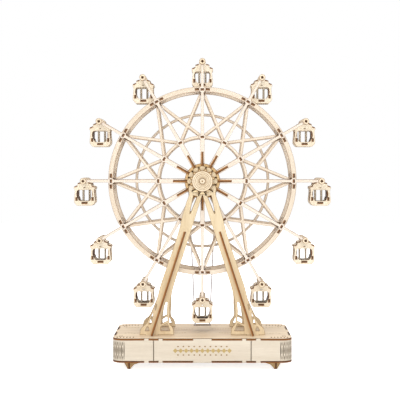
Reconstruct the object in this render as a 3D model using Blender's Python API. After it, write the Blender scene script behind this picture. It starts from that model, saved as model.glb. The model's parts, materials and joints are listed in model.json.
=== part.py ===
"""Hand-cranked ferris wheel toy, cut from thin plywood sheet and joined by tabs and slots.

The wheel hangs between two A-frames on a hollow base with bent corners.  A crank behind the base turns
a small pulley inside it, and a rubber belt climbs through a slot to the pulley on the wheel's axle.
Axes: +X right, +Y back, +Z up, origin on the table under the middle of the whole toy.  Metres.
"""
import math

import bmesh
import bpy
from mathutils import Matrix, Vector
from mathutils.geometry import tessellate_polygon

# Sheet and clearances
PLY = 0.0020
FIT = 0.0003
OVERRUN = 0.0010

# Base
BASE_WIDTH = 0.2000
BASE_DEPTH = 0.1120
BASE_CORNER_RADIUS = 0.0125
CORNER_STEPS = 3
WALL_HEIGHT = 0.0230
FOOT_HEIGHT = 0.0090
FOOT_INSET_X = 0.0180
FOOT_INSET_Y = 0.0130
FOOT_TOP_WIDTH = 0.0128
FOOT_TIP_WIDTH = 0.0047
FOOT_WING_LENGTH = 0.0150
FOOT_WING_HEIGHT = 0.0026
SEAM_SPAN = 0.1080
MIDDLE_TAB_WIDTH = 0.0206
END_TAB_WIDTH = 0.0046
END_TAB_SPAN = 0.0926
WRAP_TAB_WIDTH = 0.0048
WRAP_TAB_SPAN = 0.1240
SIDE_TAB_LENGTH = 0.0230
SIDE_TAB_SPAN = 0.0420

# Wheel
SECTORS = 12
PIVOT_RADIUS = 0.1350
CABIN_TO_RIM = 0.0017
RIM_NODE_INSET = 0.0005
RIM_WIDTH = 0.0054
MIDDLE_RING_RADIUS = 0.0770
MIDDLE_RING_SIDES = 24
INNER_RING_RADIUS = 0.0500
RING_WIDTH = 0.0030
RIM_STEPS = 2
RING_STEPS = 2
BRACE_WIDTH = 0.0030
RIM_TIE_OFFSET = 0.0062
RIM_TIE_WIDTH = 0.0064
SLOT_WIDTH = 0.0038
SPOKE_ROOT_RADIUS = 0.0175
SPOKE_ROOT_WIDTH = 0.0050
SPOKE_MIDDLE_WIDTH = 0.0037
SPOKE_TIP_WIDTH = 0.0030
INNER_BOSS_WIDTH = 0.0074
OUTER_BOSS_WIDTH = 0.0060
FIN_INNER_RADIUS = 0.0080
FIN_OUTER_RADIUS = 0.0330
HUB_DISC_RADIUS = 0.0200
HUB_NOTCH_DEPTH = 0.0038
AXLE_RADIUS = 0.0030
AXLE_SIDES = 12
STAR_TIP_RADIUS = 0.0169
STAR_VALLEY_RADIUS = 0.0121
CAP_RADIUS = 0.0115
CAP_SIDES = 18
PIN_SIZE = 0.0020
WASHER_RADIUS = 0.0036
WASHER_SIDES = 6

# Gondola
CABIN_DEPTH = 0.0230
CABIN_HALF_WIDTH = 0.0120
CABIN_DROP = 0.0283
CABIN_TO_BASE = 0.0107
CABIN_SIDE_GAP = 0.0093
EAR_RADIUS = 0.0045
EAR_HOLE_SIDES = 6
ROOF_THICKNESS = 0.0016
BAR_WIDTH = 0.0012
BAR_SPAN = 0.0070

# A-frames
FRAME_RUNNING_GAP = 0.0021
HEAD_RADIUS = 0.0170
HEAD_VALLEY_RADIUS = 0.0145
HEAD_LOBES_EACH_SIDE = 3
LEG_TOP_OFFSET = 0.00135
LEG_SPREAD = 0.0572
LEG_TAB_WIDTH = 0.0140
RIB_TOP_DROP = 0.0570
RIB_TOP_DEPTH = 0.0006
RIB_FOOT_DEPTH = 0.0100

# Drive
BELT_THICKNESS = 0.0011
BELT_WIDTH = 0.0018
BELT_TO_REAR = 0.0110
BELT_SLOT_WIDTH = 0.0200
BELT_SLOT_DEPTH = 0.0080
WHEEL_GROOVE_RADIUS = 0.0156
CRANK_GROOVE_RADIUS = 0.0070
GROOVE_WIDTH = 0.0026
FLANGE_DEPTH = 0.0029
PULLEY_SLEEVE_RADIUS = 0.0060
PULLEY_SIDES = 16
SMALL_PULLEY_SIDES = 12
CRANK_REACH = 0.0300
CRANK_SHAFT_RADIUS = 0.0030
CRANK_ARM_LENGTH = 0.0150
CRANK_ARM_WIDTH = 0.0085
CRANK_ARM_THICKNESS = 0.0040
CRANK_ARM_GAP = 0.0022
ARM_END_STEPS = 4
KNOB_RADIUS = 0.0040
KNOB_WAIST_RADIUS = 0.0031
KNOB_PIN_RADIUS = 0.0020
BRACKET_WIDTH = 0.0300
BRACKET_GAP = 0.0040

# Levels and planes that follow from the sizes above
BASE_FLOOR = FOOT_HEIGHT
WALL_FOOT = BASE_FLOOR + PLY
WALL_TOP = WALL_FOOT + WALL_HEIGHT
BASE_TOP = WALL_TOP + PLY
HUB_HEIGHT = BASE_TOP + CABIN_TO_BASE + CABIN_DROP + PIVOT_RADIUS
BASE_FRONT = -(BASE_DEPTH + CRANK_REACH) / 2
BASE_REAR = BASE_FRONT + BASE_DEPTH
WHEEL_Y = BASE_FRONT + BASE_DEPTH / 2
CRANK_HEIGHT = WALL_FOOT + WALL_HEIGHT / 2
LEG_DROP = HUB_HEIGHT - BASE_TOP
RIM_RADIUS = PIVOT_RADIUS - CABIN_DROP - CABIN_TO_RIM - PLY / 2
RIM_NODE_RADIUS = RIM_RADIUS - RIM_NODE_INSET

# Layers outwards from the wheel's middle plane
RIM_IN = CABIN_DEPTH / 2 + CABIN_SIDE_GAP
RIM_OUT = RIM_IN + PLY
SPOKE_IN = RIM_OUT + FIT
SPOKE_OUT = SPOKE_IN + PLY
COLLAR_IN = SPOKE_OUT + FIT
COLLAR_OUT = COLLAR_IN + PLY
FRAME_IN = COLLAR_OUT + FRAME_RUNNING_GAP
FRAME_OUT = FRAME_IN + PLY
STAR_IN = FRAME_OUT + FIT
STAR_OUT = STAR_IN + PLY
CAP_IN = STAR_OUT + FIT
CAP_OUT = CAP_IN + PLY
BELT_PLANE = BASE_DEPTH / 2 - BELT_TO_REAR
BELT_Y = WHEEL_Y + BELT_PLANE
PULLEY_BACK = BELT_PLANE + GROOVE_WIDTH / 2 + PLY
SECTOR_ANGLE = 2 * math.pi / SECTORS

# How a sheet's own axes (across, along, through) lie in space
FACING_FRONT = Matrix(((1, 0, 0, 0), (0, 0, 1, 0), (0, 1, 0, 0), (0, 0, 0, 1)))
FACING_SIDE = Matrix(((0, 0, 1, 0), (1, 0, 0, 0), (0, 1, 0, 0), (0, 0, 0, 1)))
LYING_FLAT = Matrix.Identity(4)

# Outline of a gondola's end sheet: shares of its half width and of its drop below the pivot
CABIN_OUTLINE_SHARES = ((0.66, 0.14), (1.02, 0.28), (0.92, 0.34), (1.00, 0.85), (0.69, 1.00))
WINDOW_SHARES = ((0.74, 0.365), (0.77, 0.65), (0.49, 0.81))
EAR_ANGLE_SHARES = (0.17, 0.50)
FLOOR_LEVEL_SHARE = 0.88
FLOOR_WIDTH_SHARE = 0.74
WALL_TOP_SHARE = 0.35
WALL_FOOT_SHARE = 0.84
WALL_PLACE_SHARE = 0.80
ROOF_TOP_SHARES = (0.46, 0.190)
ROOF_EAVE_SHARES = (0.92, 0.295)

# Outline of a leg: shares of the leg's spread at the foot and of its drop from the hub to the base
LEG_OUTER_SHARES = ((0.300, 0.115), (0.345, 0.155), (0.402, 0.235), (0.488, 0.348), (0.850, 0.700),
                    (0.935, 0.776), (1.037, 0.855), (1.114, 0.894), (1.250, 1.000))
LEG_INNER_SHARES = ((0.565, 1.000), (0.590, 0.900), (0.642, 0.830), (0.620, 0.745), (0.547, 0.660))
FRAME_FORK_SHARE = 0.086
LEG_SLIT_SHARES = ((0.100, 0.098), (0.176, 0.092), (0.252, 0.210), (0.236, 0.210))
TOWER_GAP_SHARES = ((0.708, 0.800), (0.730, 0.800), (0.792, 0.874), (0.815, 0.911), (0.757, 0.911),
                    (0.742, 0.868))
TOWER_ARCH_SHARES = ((0.630, 0.980), (0.832, 0.980), (0.718, 0.926))
OUTER_GAP_SHARES = ((0.962, 0.856), (0.990, 0.862), (1.022, 0.920), (0.994, 0.920))
OUTER_ARCH_SHARES = ((1.063, 0.980), (1.125, 0.980), (1.077, 0.943))

# Profile of the crank's knob: shares of its length from the arm
KNOB_WAIST_SHARE = 0.25
KNOB_BELLY_SHARE = 0.50
KNOB_CROWN_SHARE = 0.875

# Finishes: plywood face, darker inner pieces, belt rubber
SHEET_COLOUR = (0.80, 0.64, 0.42, 1.0)
EDGE_COLOUR = (0.42, 0.22, 0.10, 1.0)
BELT_COLOUR = (0.30, 0.30, 0.30, 1.0)
SHEET_ROUGHNESS = 0.65
BELT_ROUGHNESS = 0.80


def clear_scene():
    """Remove every object, so that the model starts from nothing."""
    for item in list(bpy.data.objects):
        bpy.data.objects.remove(item, do_unlink=True)


def finish(name, colour, roughness):
    """A plain material for one piece."""
    material = bpy.data.materials.new(name)
    material.use_nodes = True
    shader = material.node_tree.nodes["Principled BSDF"]
    shader.inputs["Base Color"].default_value = colour
    shader.inputs["Roughness"].default_value = roughness
    shader.inputs["Metallic"].default_value = 0.0
    return material


def empty(name, location, parent=None):
    """An empty on a joint's axis, which the moving pieces are parented to."""
    holder = bpy.data.objects.new(name, None)
    bpy.context.scene.collection.objects.link(holder)
    holder.location = location
    holder.parent = parent
    return holder


def shape(name, body):
    """Turn a bmesh into an object with its faces pointing outwards."""
    bmesh.ops.recalc_face_normals(body, faces=body.faces)
    mesh = bpy.data.meshes.new(name)
    body.to_mesh(mesh)
    body.free()
    item = bpy.data.objects.new(name, mesh)
    bpy.context.scene.collection.objects.link(item)
    return item


def piece(name, body, parent=None, colour=SHEET_COLOUR, roughness=SHEET_ROUGHNESS):
    """One named object with its own material; body is a bmesh, or a list of them that join into one solid."""
    solids = body if isinstance(body, list) else [body]
    shapes = [shape(name, solid) for solid in solids]
    item = shapes[0]
    if len(shapes) > 1:
        others = bpy.data.collections.new("others")
        bpy.context.scene.collection.children.link(others)
        for other in shapes[1:]:
            others.objects.link(other)
        join = item.modifiers.new("join", "BOOLEAN")
        join.operation = "UNION"
        join.solver = "EXACT"
        join.operand_type = "COLLECTION"
        join.collection = others
        joined = bpy.data.meshes.new_from_object(item.evaluated_get(bpy.context.evaluated_depsgraph_get()))
        item.modifiers.clear()
        item.data = joined
        for other in shapes[1:]:
            bpy.data.objects.remove(other, do_unlink=True)
        bpy.data.collections.remove(others)
    item.name = name
    item.data.materials.clear()
    item.data.materials.append(finish(name, colour, roughness))
    item.parent = parent
    return item


def copy_of(item, name, parent, turn=0.0):
    """A second object that shares another piece's mesh."""
    twin = bpy.data.objects.new(name, item.data)
    bpy.context.scene.collection.objects.link(twin)
    twin.parent = parent
    twin.rotation_euler.y = turn
    return twin


def sheet(rings, near, far, place):
    """A sheet: rings[0] is its outline, the other rings are holes, near and far are its faces."""
    body = bmesh.new()
    flat_rings = [[Vector((u, v, 0.0)) for u, v in ring] for ring in rings]
    corners = [corner for ring in flat_rings for corner in ring]
    layers = []
    for level in (near, far):
        layers.append([body.verts.new(place @ Vector((c.x, c.y, level))) for c in corners])
    for a, b, c in tessellate_polygon(flat_rings):
        body.faces.new((layers[0][a], layers[0][b], layers[0][c]))
        body.faces.new((layers[1][c], layers[1][b], layers[1][a]))
    start = 0
    for ring in rings:
        for step in range(len(ring)):
            here = start + step
            after = start + (step + 1) % len(ring)
            body.faces.new((layers[0][here], layers[0][after], layers[1][after], layers[1][here]))
        start += len(ring)
    return body


def turned(profile, sides, place):
    """Turn a closed profile of (radius, along) about the along axis; a radius of zero is a pole."""
    body = bmesh.new()
    rings = []
    for radius, along in profile:
        if radius == 0:
            rings.append([body.verts.new(place @ Vector((0, along, 0)))])
            continue
        turns = [2 * math.pi * step / sides for step in range(sides)]
        rings.append([body.verts.new(place @ Vector((radius * math.sin(a), along, radius * math.cos(a))))
                      for a in turns])
    for index, ring in enumerate(rings):
        following = rings[(index + 1) % len(rings)]
        if len(ring) == 1 and len(following) == 1:
            continue
        for step in range(sides):
            after = (step + 1) % sides
            loop = [ring[step % len(ring)], ring[after % len(ring)],
                    following[after % len(following)], following[step % len(following)]]
            body.faces.new(list(dict.fromkeys(loop)))
    return body


def circle(radius, sides, centre=(0.0, 0.0), turn=0.0):
    """Corners of a regular polygon."""
    return [(centre[0] + radius * math.cos(turn + 2 * math.pi * step / sides),
             centre[1] + radius * math.sin(turn + 2 * math.pi * step / sides)) for step in range(sides)]


def box_ring(width, height, centre=(0.0, 0.0)):
    """Corners of a rectangle."""
    u, v = centre
    return [(u - width / 2, v - height / 2), (u + width / 2, v - height / 2),
            (u + width / 2, v + height / 2), (u - width / 2, v + height / 2)]


def mirrored(points):
    """The same points on the other side of the middle line, in reverse order."""
    return [(-u, v) for u, v in reversed(points)]


def arc_band(radius, width, first, last, steps):
    """A curved strip between two angles, measured from the top and turning to the right."""
    angles = [first + (last - first) * step / steps for step in range(steps + 1)]
    outside = [((radius + width / 2) * math.sin(a), (radius + width / 2) * math.cos(a)) for a in angles]
    inside = [((radius - width / 2) * math.sin(a), (radius - width / 2) * math.cos(a)) for a in angles]
    return outside + inside[::-1]


def sheets_both_sides(low, high):
    """The front and the rear layer at the same distance from the wheel's middle plane."""
    return (("front", -high, -low), ("rear", low, high))


# Base

def notched_edge(start, along, inward, notches):
    """Points of one straight edge of a plate, with an open notch for each (middle, width, depth)."""
    points = []
    for middle, width, depth in notches:
        for offset, cut in ((-width / 2, 0), (-width / 2, depth), (width / 2, depth), (width / 2, 0)):
            travel = middle + offset
            points.append((start[0] + along[0] * travel + inward[0] * cut,
                           start[1] + along[1] * travel + inward[1] * cut))
    return points


def base_plate_outline():
    """The rounded plate, notched where the walls' tabs come through its edge."""
    half_width = BASE_WIDTH / 2
    middle_y = (BASE_FRONT + BASE_REAR) / 2
    depth = PLY + FIT
    long_notches = []
    for middle, width in ((-WRAP_TAB_SPAN / 2, WRAP_TAB_WIDTH), (-END_TAB_SPAN / 2, END_TAB_WIDTH),
                          (0.0, MIDDLE_TAB_WIDTH), (END_TAB_SPAN / 2, END_TAB_WIDTH),
                          (WRAP_TAB_SPAN / 2, WRAP_TAB_WIDTH)):
        long_notches.append((middle, width + 2 * FIT, depth))
    side_notches = [(side * SIDE_TAB_SPAN / 2, SIDE_TAB_LENGTH + 2 * FIT, depth) for side in (-1, 1)]
    edges = (
        notched_edge((0.0, BASE_FRONT), (1, 0), (0, 1), long_notches),
        notched_edge((half_width, middle_y), (0, 1), (-1, 0), side_notches),
        notched_edge((0.0, BASE_REAR), (-1, 0), (0, -1), long_notches),
        notched_edge((-half_width, middle_y), (0, -1), (1, 0), side_notches),
    )
    radius = BASE_CORNER_RADIUS
    corner_centres = ((half_width - radius, BASE_FRONT + radius), (half_width - radius, BASE_REAR - radius),
                      (-half_width + radius, BASE_REAR - radius), (-half_width + radius, BASE_FRONT + radius))
    outline = []
    for index, edge in enumerate(edges):
        outline += edge
        start = -math.pi / 2 + index * math.pi / 2
        for step in range(CORNER_STEPS + 1):
            angle = start + math.pi / 2 * step / CORNER_STEPS
            outline.append((corner_centres[index][0] + radius * math.cos(angle),
                            corner_centres[index][1] + radius * math.sin(angle)))
    return outline


def frame_planes():
    """Middle of the front and of the rear A-frame, along Y."""
    middle = (FRAME_IN + FRAME_OUT) / 2
    return WHEEL_Y - middle, WHEEL_Y + middle


def make_base_plates():
    """Bottom plate with its feet, and the top plate with slots for the A-frames and the belt."""
    bottom = sheet([base_plate_outline()], BASE_FLOOR, WALL_FOOT, LYING_FLAT)
    piece("base_bottom_plate", [bottom] + foot_sheets())
    holes = [box_ring(BELT_SLOT_WIDTH, BELT_SLOT_DEPTH, (0.0, BELT_Y))]
    for side in (-1, 1):
        for plane in frame_planes():
            holes.append(box_ring(LEG_TAB_WIDTH + 2 * FIT, PLY + 2 * FIT, (side * LEG_SPREAD, plane)))
    piece("base_top_plate", sheet([base_plate_outline()] + holes, WALL_TOP, BASE_TOP, LYING_FLAT))


def wall_panel_outline():
    """Flat wall between the two seams, with tabs up and down through the plates."""
    half = SEAM_SPAN / 2 - FIT / 2
    low = WALL_FOOT + FIT
    high = WALL_TOP - FIT
    upper = [(-half, high)]
    for middle, width in ((-END_TAB_SPAN / 2, END_TAB_WIDTH), (0.0, MIDDLE_TAB_WIDTH),
                          (END_TAB_SPAN / 2, END_TAB_WIDTH)):
        upper += [(middle - width / 2, high), (middle - width / 2, BASE_TOP),
                  (middle + width / 2, BASE_TOP), (middle + width / 2, high)]
    upper.append((half, high))
    lower = [(u, low if v == high else BASE_FLOOR) for u, v in reversed(upper)]
    return upper + lower


def make_wall_panels():
    """Front wall, and the rear wall with the crank's hole."""
    outline = wall_panel_outline()
    piece("base_front_panel", sheet([outline], BASE_FRONT, BASE_FRONT + PLY, FACING_FRONT))
    shaft_hole = circle(CRANK_SHAFT_RADIUS + FIT, AXLE_SIDES, (0.0, CRANK_HEIGHT))
    piece("base_rear_panel", sheet([outline, shaft_hole], BASE_REAR - PLY, BASE_REAR, FACING_FRONT))


def wrap_stations():
    """Stations along the bent wall: (outer point, outward direction, whether a tab starts here)."""
    half_width = BASE_WIDTH / 2
    radius = BASE_CORNER_RADIUS
    middle_y = (BASE_FRONT + BASE_REAR) / 2
    seam = SEAM_SPAN / 2 + FIT / 2
    stations = [((seam, BASE_FRONT), (0, -1), False)]
    for offset, tab in ((-WRAP_TAB_WIDTH / 2, True), (WRAP_TAB_WIDTH / 2, False)):
        stations.append(((WRAP_TAB_SPAN / 2 + offset, BASE_FRONT), (0, -1), tab))
    for step in range(CORNER_STEPS + 1):
        angle = -math.pi / 2 + math.pi / 2 * step / CORNER_STEPS
        out = (math.cos(angle), math.sin(angle))
        stations.append(((half_width - radius + radius * out[0], BASE_FRONT + radius + radius * out[1]),
                         out, False))
    for side in (-1, 1):
        for offset, tab in ((-SIDE_TAB_LENGTH / 2, True), (SIDE_TAB_LENGTH / 2, False)):
            stations.append(((half_width, middle_y + side * SIDE_TAB_SPAN / 2 + offset), (1, 0), tab))
    for step in range(CORNER_STEPS + 1):
        angle = math.pi / 2 * step / CORNER_STEPS
        out = (math.cos(angle), math.sin(angle))
        stations.append(((half_width - radius + radius * out[0], BASE_REAR - radius + radius * out[1]),
                         out, False))
    for offset, tab in ((WRAP_TAB_WIDTH / 2, True), (-WRAP_TAB_WIDTH / 2, False)):
        stations.append(((WRAP_TAB_SPAN / 2 + offset, BASE_REAR), (0, 1), tab))
    stations.append(((seam, BASE_REAR), (0, 1), False))
    return stations


def make_bent_wall(name, side):
    """Wall bent round one end of the base: strips between stations, taller where a tab is."""
    stations = wrap_stations()
    levels = (BASE_FLOOR, WALL_FOOT + FIT, WALL_TOP - FIT, BASE_TOP)
    body = bmesh.new()
    grid = {}

    def corner(index, level, layer):
        key = (index, level, layer)
        if key not in grid:
            (x, y), out, _ = stations[index]
            depth = PLY * layer
            grid[key] = body.verts.new((side * (x - out[0] * depth), y - out[1] * depth, levels[level]))
        return grid[key]

    filled = set()
    for index in range(len(stations) - 1):
        filled.add((index, 1))
        if stations[index][2]:
            filled.update({(index, 0), (index, 2)})
    for index, level in filled:
        corners = ((index, level), (index + 1, level), (index + 1, level + 1), (index, level + 1))
        for layer in (0, 1):
            body.faces.new([corner(i, z, layer) for i, z in corners])
        neighbours = ((index, level - 1), (index + 1, level), (index, level + 1), (index - 1, level))
        for number, neighbour in enumerate(neighbours):
            if neighbour not in filled:
                a = corners[number]
                b = corners[(number + 1) % len(corners)]
                body.faces.new((corner(*a, 0), corner(*b, 0), corner(*b, 1), corner(*a, 1)))
    piece(name, body)


def foot_sheets():
    """Four feet, each of two crossed and tapered sheets; one sheet has a thin wing towards the middle."""
    sheets = []
    top = BASE_FLOOR + PLY / 2
    half_top = FOOT_TOP_WIDTH / 2
    half_tip = FOOT_TIP_WIDTH / 2
    under = BASE_FLOOR
    wing = half_top + FOOT_WING_LENGTH
    along = [(-half_top, top), (-half_top, under), (-half_tip, 0.0), (half_tip, 0.0),
             (half_top, under - FOOT_WING_HEIGHT), (wing, under - FOOT_WING_HEIGHT), (wing, top)]
    across = [(-half_top, top), (-half_top, under), (-half_tip, 0.0), (half_tip, 0.0), (half_top, under),
              (half_top, top)]
    for side in (-1, 1):
        x = side * (BASE_WIDTH / 2 - FOOT_INSET_X)
        for y in (BASE_FRONT + FOOT_INSET_Y, BASE_REAR - FOOT_INSET_Y):
            here = Matrix.Translation((x, y, 0))
            inward = [(-side * u, v) for u, v in along]
            sheets.append(sheet([inward], -PLY / 2, PLY / 2, here @ FACING_FRONT))
            sheets.append(sheet([across], -PLY / 2, PLY / 2, here @ FACING_SIDE))
    return sheets


# A-frames

def leg_points(shares):
    """Leg outline points from shares of its spread and its drop, hub centred."""
    return [(share_u * LEG_SPREAD, -share_v * (LEG_DROP - FIT)) for share_u, share_v in shares]


def head_points():
    """Lobes round the top of the frame's head, one at each spoke angle above the legs."""
    points = []
    for lobe in range(-HEAD_LOBES_EACH_SIDE, HEAD_LOBES_EACH_SIDE + 1):
        middle = lobe * SECTOR_ANGLE
        for turn, radius in ((0, HEAD_RADIUS), (SECTOR_ANGLE / 2, HEAD_VALLEY_RADIUS)):
            angle = middle + turn
            points.append((radius * math.sin(angle), radius * math.cos(angle)))
    return points[:-1]


def frame_outline():
    """Whole outline of an A-frame, hub centred: head, right leg, fork, left leg."""
    outer = leg_points(LEG_OUTER_SHARES)
    inner = leg_points(LEG_INNER_SHARES)
    foot = -(LEG_DROP - FIT)
    tab_end = -(LEG_DROP + PLY)
    tab = [(LEG_SPREAD + LEG_TAB_WIDTH / 2, foot), (LEG_SPREAD + LEG_TAB_WIDTH / 2, tab_end),
           (LEG_SPREAD - LEG_TAB_WIDTH / 2, tab_end), (LEG_SPREAD - LEG_TAB_WIDTH / 2, foot)]
    right = outer + tab + inner
    fork = [(0.0, -FRAME_FORK_SHARE * LEG_DROP)]
    return head_points() + right + fork + mirrored(right)


def frame_holes():
    """Axle hole, slits and the openings of the lattice feet."""
    holes = [circle(AXLE_RADIUS + FIT, AXLE_SIDES)]
    for shares in (LEG_SLIT_SHARES, TOWER_GAP_SHARES, TOWER_ARCH_SHARES, OUTER_GAP_SHARES,
                   OUTER_ARCH_SHARES):
        opening = leg_points(shares)
        holes += [opening, mirrored(opening)]
    return holes


def make_frames():
    """The two A-frames that carry the axle."""
    place = Matrix.Translation((0, WHEEL_Y, HUB_HEIGHT)) @ FACING_FRONT
    for side, near, far in sheets_both_sides(FRAME_IN, FRAME_OUT):
        piece(side + "_frame", sheet([frame_outline()] + frame_holes(), near, far, place))


def make_frame_ribs():
    """Stiffening ribs that stand on the legs' outer faces and grow towards the base."""
    lean = math.atan2(LEG_SPREAD - LEG_TOP_OFFSET, LEG_DROP)
    near = FRAME_OUT + FIT
    top = -RIB_TOP_DROP / math.cos(lean)
    foot = (FIT - LEG_DROP) / math.cos(lean) + PLY / 2 * math.tan(lean)
    outline = [(near, top), (near + RIB_TOP_DEPTH, top), (near + RIB_FOOT_DEPTH, foot), (near, foot)]
    for across, side in (("left", -1), ("right", 1)):
        start = Matrix.Translation((side * LEG_TOP_OFFSET, WHEEL_Y, HUB_HEIGHT))
        place = start @ Matrix.Rotation(-side * lean, 4, "Y") @ FACING_SIDE
        for along, facing in (("front", -1), ("rear", 1)):
            rib = [(facing * u, v) for u, v in outline]
            piece(f"{along}_{across}_rib", sheet([rib], -PLY / 2, PLY / 2, place))


# Wheel

def clipped(points, normal, limit):
    """The part of a convex or banded outline where the point's dot product with normal is at most limit."""
    kept = []
    for index, point in enumerate(points):
        before = points[index - 1]
        depth = point[0] * normal[0] + point[1] * normal[1] - limit
        depth_before = before[0] * normal[0] + before[1] * normal[1] - limit
        if depth * depth_before < 0:
            share = depth_before / (depth_before - depth)
            kept.append((before[0] + (point[0] - before[0]) * share, before[1] + (point[1] - before[1]) * share))
        if depth <= 0:
            kept.append(point)
    return kept


def between_spokes(points):
    """Trim an outline in the sector round the top, short of the cross plates at its two nodes."""
    margin = SLOT_WIDTH / 2 + FIT
    half = SECTOR_ANGLE / 2
    for side in (-1, 1):
        normal = (side * math.cos(half), -math.sin(half))
        points = clipped(points, normal, -margin)
    return points


def node(radius, side):
    """Where a spoke's centre line meets a radius, on one side of the sector."""
    return Vector((side * radius * math.sin(SECTOR_ANGLE / 2), radius * math.cos(SECTOR_ANGLE / 2)))


def strip(start, end, width):
    """A straight strip between two points."""
    side = (end - start).normalized().orthogonal() * width / 2
    return [(start + side)[:], (end + side)[:], (end - side)[:], (start - side)[:]]


def panel_outlines():
    """Flat members of a wheel panel: its curved bands and the two crossed braces."""
    half = SECTOR_ANGLE / 2
    members = [arc_band(RIM_RADIUS, RIM_WIDTH, -half, half, RIM_STEPS),
               arc_band(INNER_RING_RADIUS, RING_WIDTH, -half, half, RING_STEPS)]
    members += [strip(node(RIM_NODE_RADIUS, -side), node(INNER_RING_RADIUS, side), BRACE_WIDTH)
                for side in (-1, 1)]
    return [between_spokes(member) for member in members]


def make_wheel_sectors(wheel):
    """Twelve sectors: a front and a rear panel with crossed braces, tied by two plates at the rim."""
    solids = []
    for _, near, far in sheets_both_sides(RIM_IN, RIM_OUT):
        solids += [sheet([points], near, far, FACING_FRONT) for points in panel_outlines()]
    tie = box_ring(RIM_TIE_WIDTH, RIM_IN + RIM_OUT)
    for side in (-1, 1):
        turn = Matrix.Rotation(side * (SECTOR_ANGLE / 2 - RIM_TIE_OFFSET / RIM_RADIUS), 4, "Y")
        solids.append(sheet([tie], RIM_RADIUS - PLY / 2, RIM_RADIUS + PLY / 2, turn))
    first = piece("wheel_sector_01", solids, wheel)
    first.rotation_euler.y = SECTOR_ANGLE / 2
    for sector in range(1, SECTORS):
        copy_of(first, f"wheel_sector_{sector + 1:02d}", wheel, (sector + 1 / 2) * SECTOR_ANGLE)


def make_middle_ring(wheel):
    """The extra ring that lies against the inner side of the rear panels."""
    outside = circle(MIDDLE_RING_RADIUS + RING_WIDTH / 2, MIDDLE_RING_SIDES)
    inside = circle(MIDDLE_RING_RADIUS - RING_WIDTH / 2, MIDDLE_RING_SIDES)
    ring = sheet([outside, inside], RIM_IN - FIT - PLY, RIM_IN - FIT, FACING_FRONT)
    piece("rear_middle_ring", ring, wheel)


def spoke_outline():
    """A spoke: root over its fin, two bosses for the rungs and a rounded end for the gondola's pin."""
    root = SPOKE_ROOT_WIDTH / 2
    middle = SPOKE_MIDDLE_WIDTH / 2
    tip = SPOKE_TIP_WIDTH / 2
    inner_boss = INNER_BOSS_WIDTH / 2
    outer_boss = OUTER_BOSS_WIDTH / 2
    boss_flat = WASHER_RADIUS * math.cos(math.pi / WASHER_SIDES)
    boss_rise = WASHER_RADIUS * math.sin(math.pi / WASHER_SIDES)
    neck = WASHER_RADIUS - tip * boss_rise / boss_flat
    right = [(root, SPOKE_ROOT_RADIUS), (root, INNER_RING_RADIUS - inner_boss),
             (inner_boss, INNER_RING_RADIUS), (middle, INNER_RING_RADIUS + inner_boss),
             (tip, RIM_NODE_RADIUS - outer_boss), (outer_boss, RIM_NODE_RADIUS),
             (tip, RIM_NODE_RADIUS + outer_boss), (tip, PIVOT_RADIUS - neck),
             (boss_flat, PIVOT_RADIUS - boss_rise), (boss_flat, PIVOT_RADIUS + boss_rise)]
    return right + [(0.0, PIVOT_RADIUS + WASHER_RADIUS)] + mirrored(right)


def fin_outline():
    """A hub fin seen from the side: it reaches through both hub discs and slopes out to the spokes."""
    notch = HUB_DISC_RADIUS - HUB_NOTCH_DEPTH + FIT
    upper = [(RIM_OUT, FIN_INNER_RADIUS), (RIM_OUT, notch), (COLLAR_OUT, notch),
             (COLLAR_OUT, HUB_DISC_RADIUS), (SPOKE_OUT - PLY / 2, FIN_OUTER_RADIUS)]
    return upper + mirrored(upper)


def make_spoke_ladders(wheel):
    """Twelve ladders: a front and a rear spoke with their hub fin, two rungs, pivot pin and washers."""
    solids = [sheet([fin_outline()], -PLY / 2, PLY / 2, FACING_SIDE)]
    for _, near, far in sheets_both_sides(SPOKE_IN, SPOKE_OUT):
        solids.append(sheet([spoke_outline()], near, far, FACING_FRONT))
    rung = box_ring(SLOT_WIDTH, SPOKE_IN + SPOKE_OUT)
    for radius in (INNER_RING_RADIUS, RIM_NODE_RADIUS):
        solids.append(sheet([rung], radius - PLY / 2, radius + PLY / 2, LYING_FLAT))
    pin = box_ring(PIN_SIZE, PIN_SIZE, (0.0, PIVOT_RADIUS))
    pin_end = COLLAR_OUT - PLY / 2
    solids.append(sheet([pin], -pin_end, pin_end, FACING_FRONT))
    washer = circle(WASHER_RADIUS, WASHER_SIDES, (0.0, PIVOT_RADIUS), math.pi / 2)
    for _, near, far in sheets_both_sides(SPOKE_OUT, COLLAR_OUT):
        solids.append(sheet([washer], near, far, FACING_FRONT))
    first = piece("spoke_ladder_01", solids, wheel)
    for sector in range(1, SECTORS):
        copy_of(first, f"spoke_ladder_{sector + 1:02d}", wheel, sector * SECTOR_ANGLE)


def make_hub(wheel):
    """The two notched hub discs, and the star on the axle in front of the frame."""
    half_notch = PLY / 2 + FIT
    outline = []
    star = []
    for sector in range(SECTORS):
        angle = sector * SECTOR_ANGLE
        between = angle + SECTOR_ANGLE / 2
        notch = ((-half_notch, HUB_DISC_RADIUS), (-half_notch, HUB_DISC_RADIUS - HUB_NOTCH_DEPTH),
                 (half_notch, HUB_DISC_RADIUS - HUB_NOTCH_DEPTH), (half_notch, HUB_DISC_RADIUS))
        outline += [(u * math.cos(angle) + v * math.sin(angle), v * math.cos(angle) - u * math.sin(angle))
                    for u, v in notch]
        star += [(STAR_VALLEY_RADIUS * math.sin(angle), STAR_VALLEY_RADIUS * math.cos(angle)),
                 (STAR_TIP_RADIUS * math.sin(between), STAR_TIP_RADIUS * math.cos(between))]
    axle_hole = circle(AXLE_RADIUS + FIT, AXLE_SIDES)
    for side, near, far in sheets_both_sides(COLLAR_IN, COLLAR_OUT):
        piece(side + "_hub_disc", sheet([outline, axle_hole], near, far, FACING_FRONT), wheel)
    piece("axle_star", sheet([star, axle_hole], -STAR_OUT, -STAR_IN, FACING_FRONT), wheel)


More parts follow.
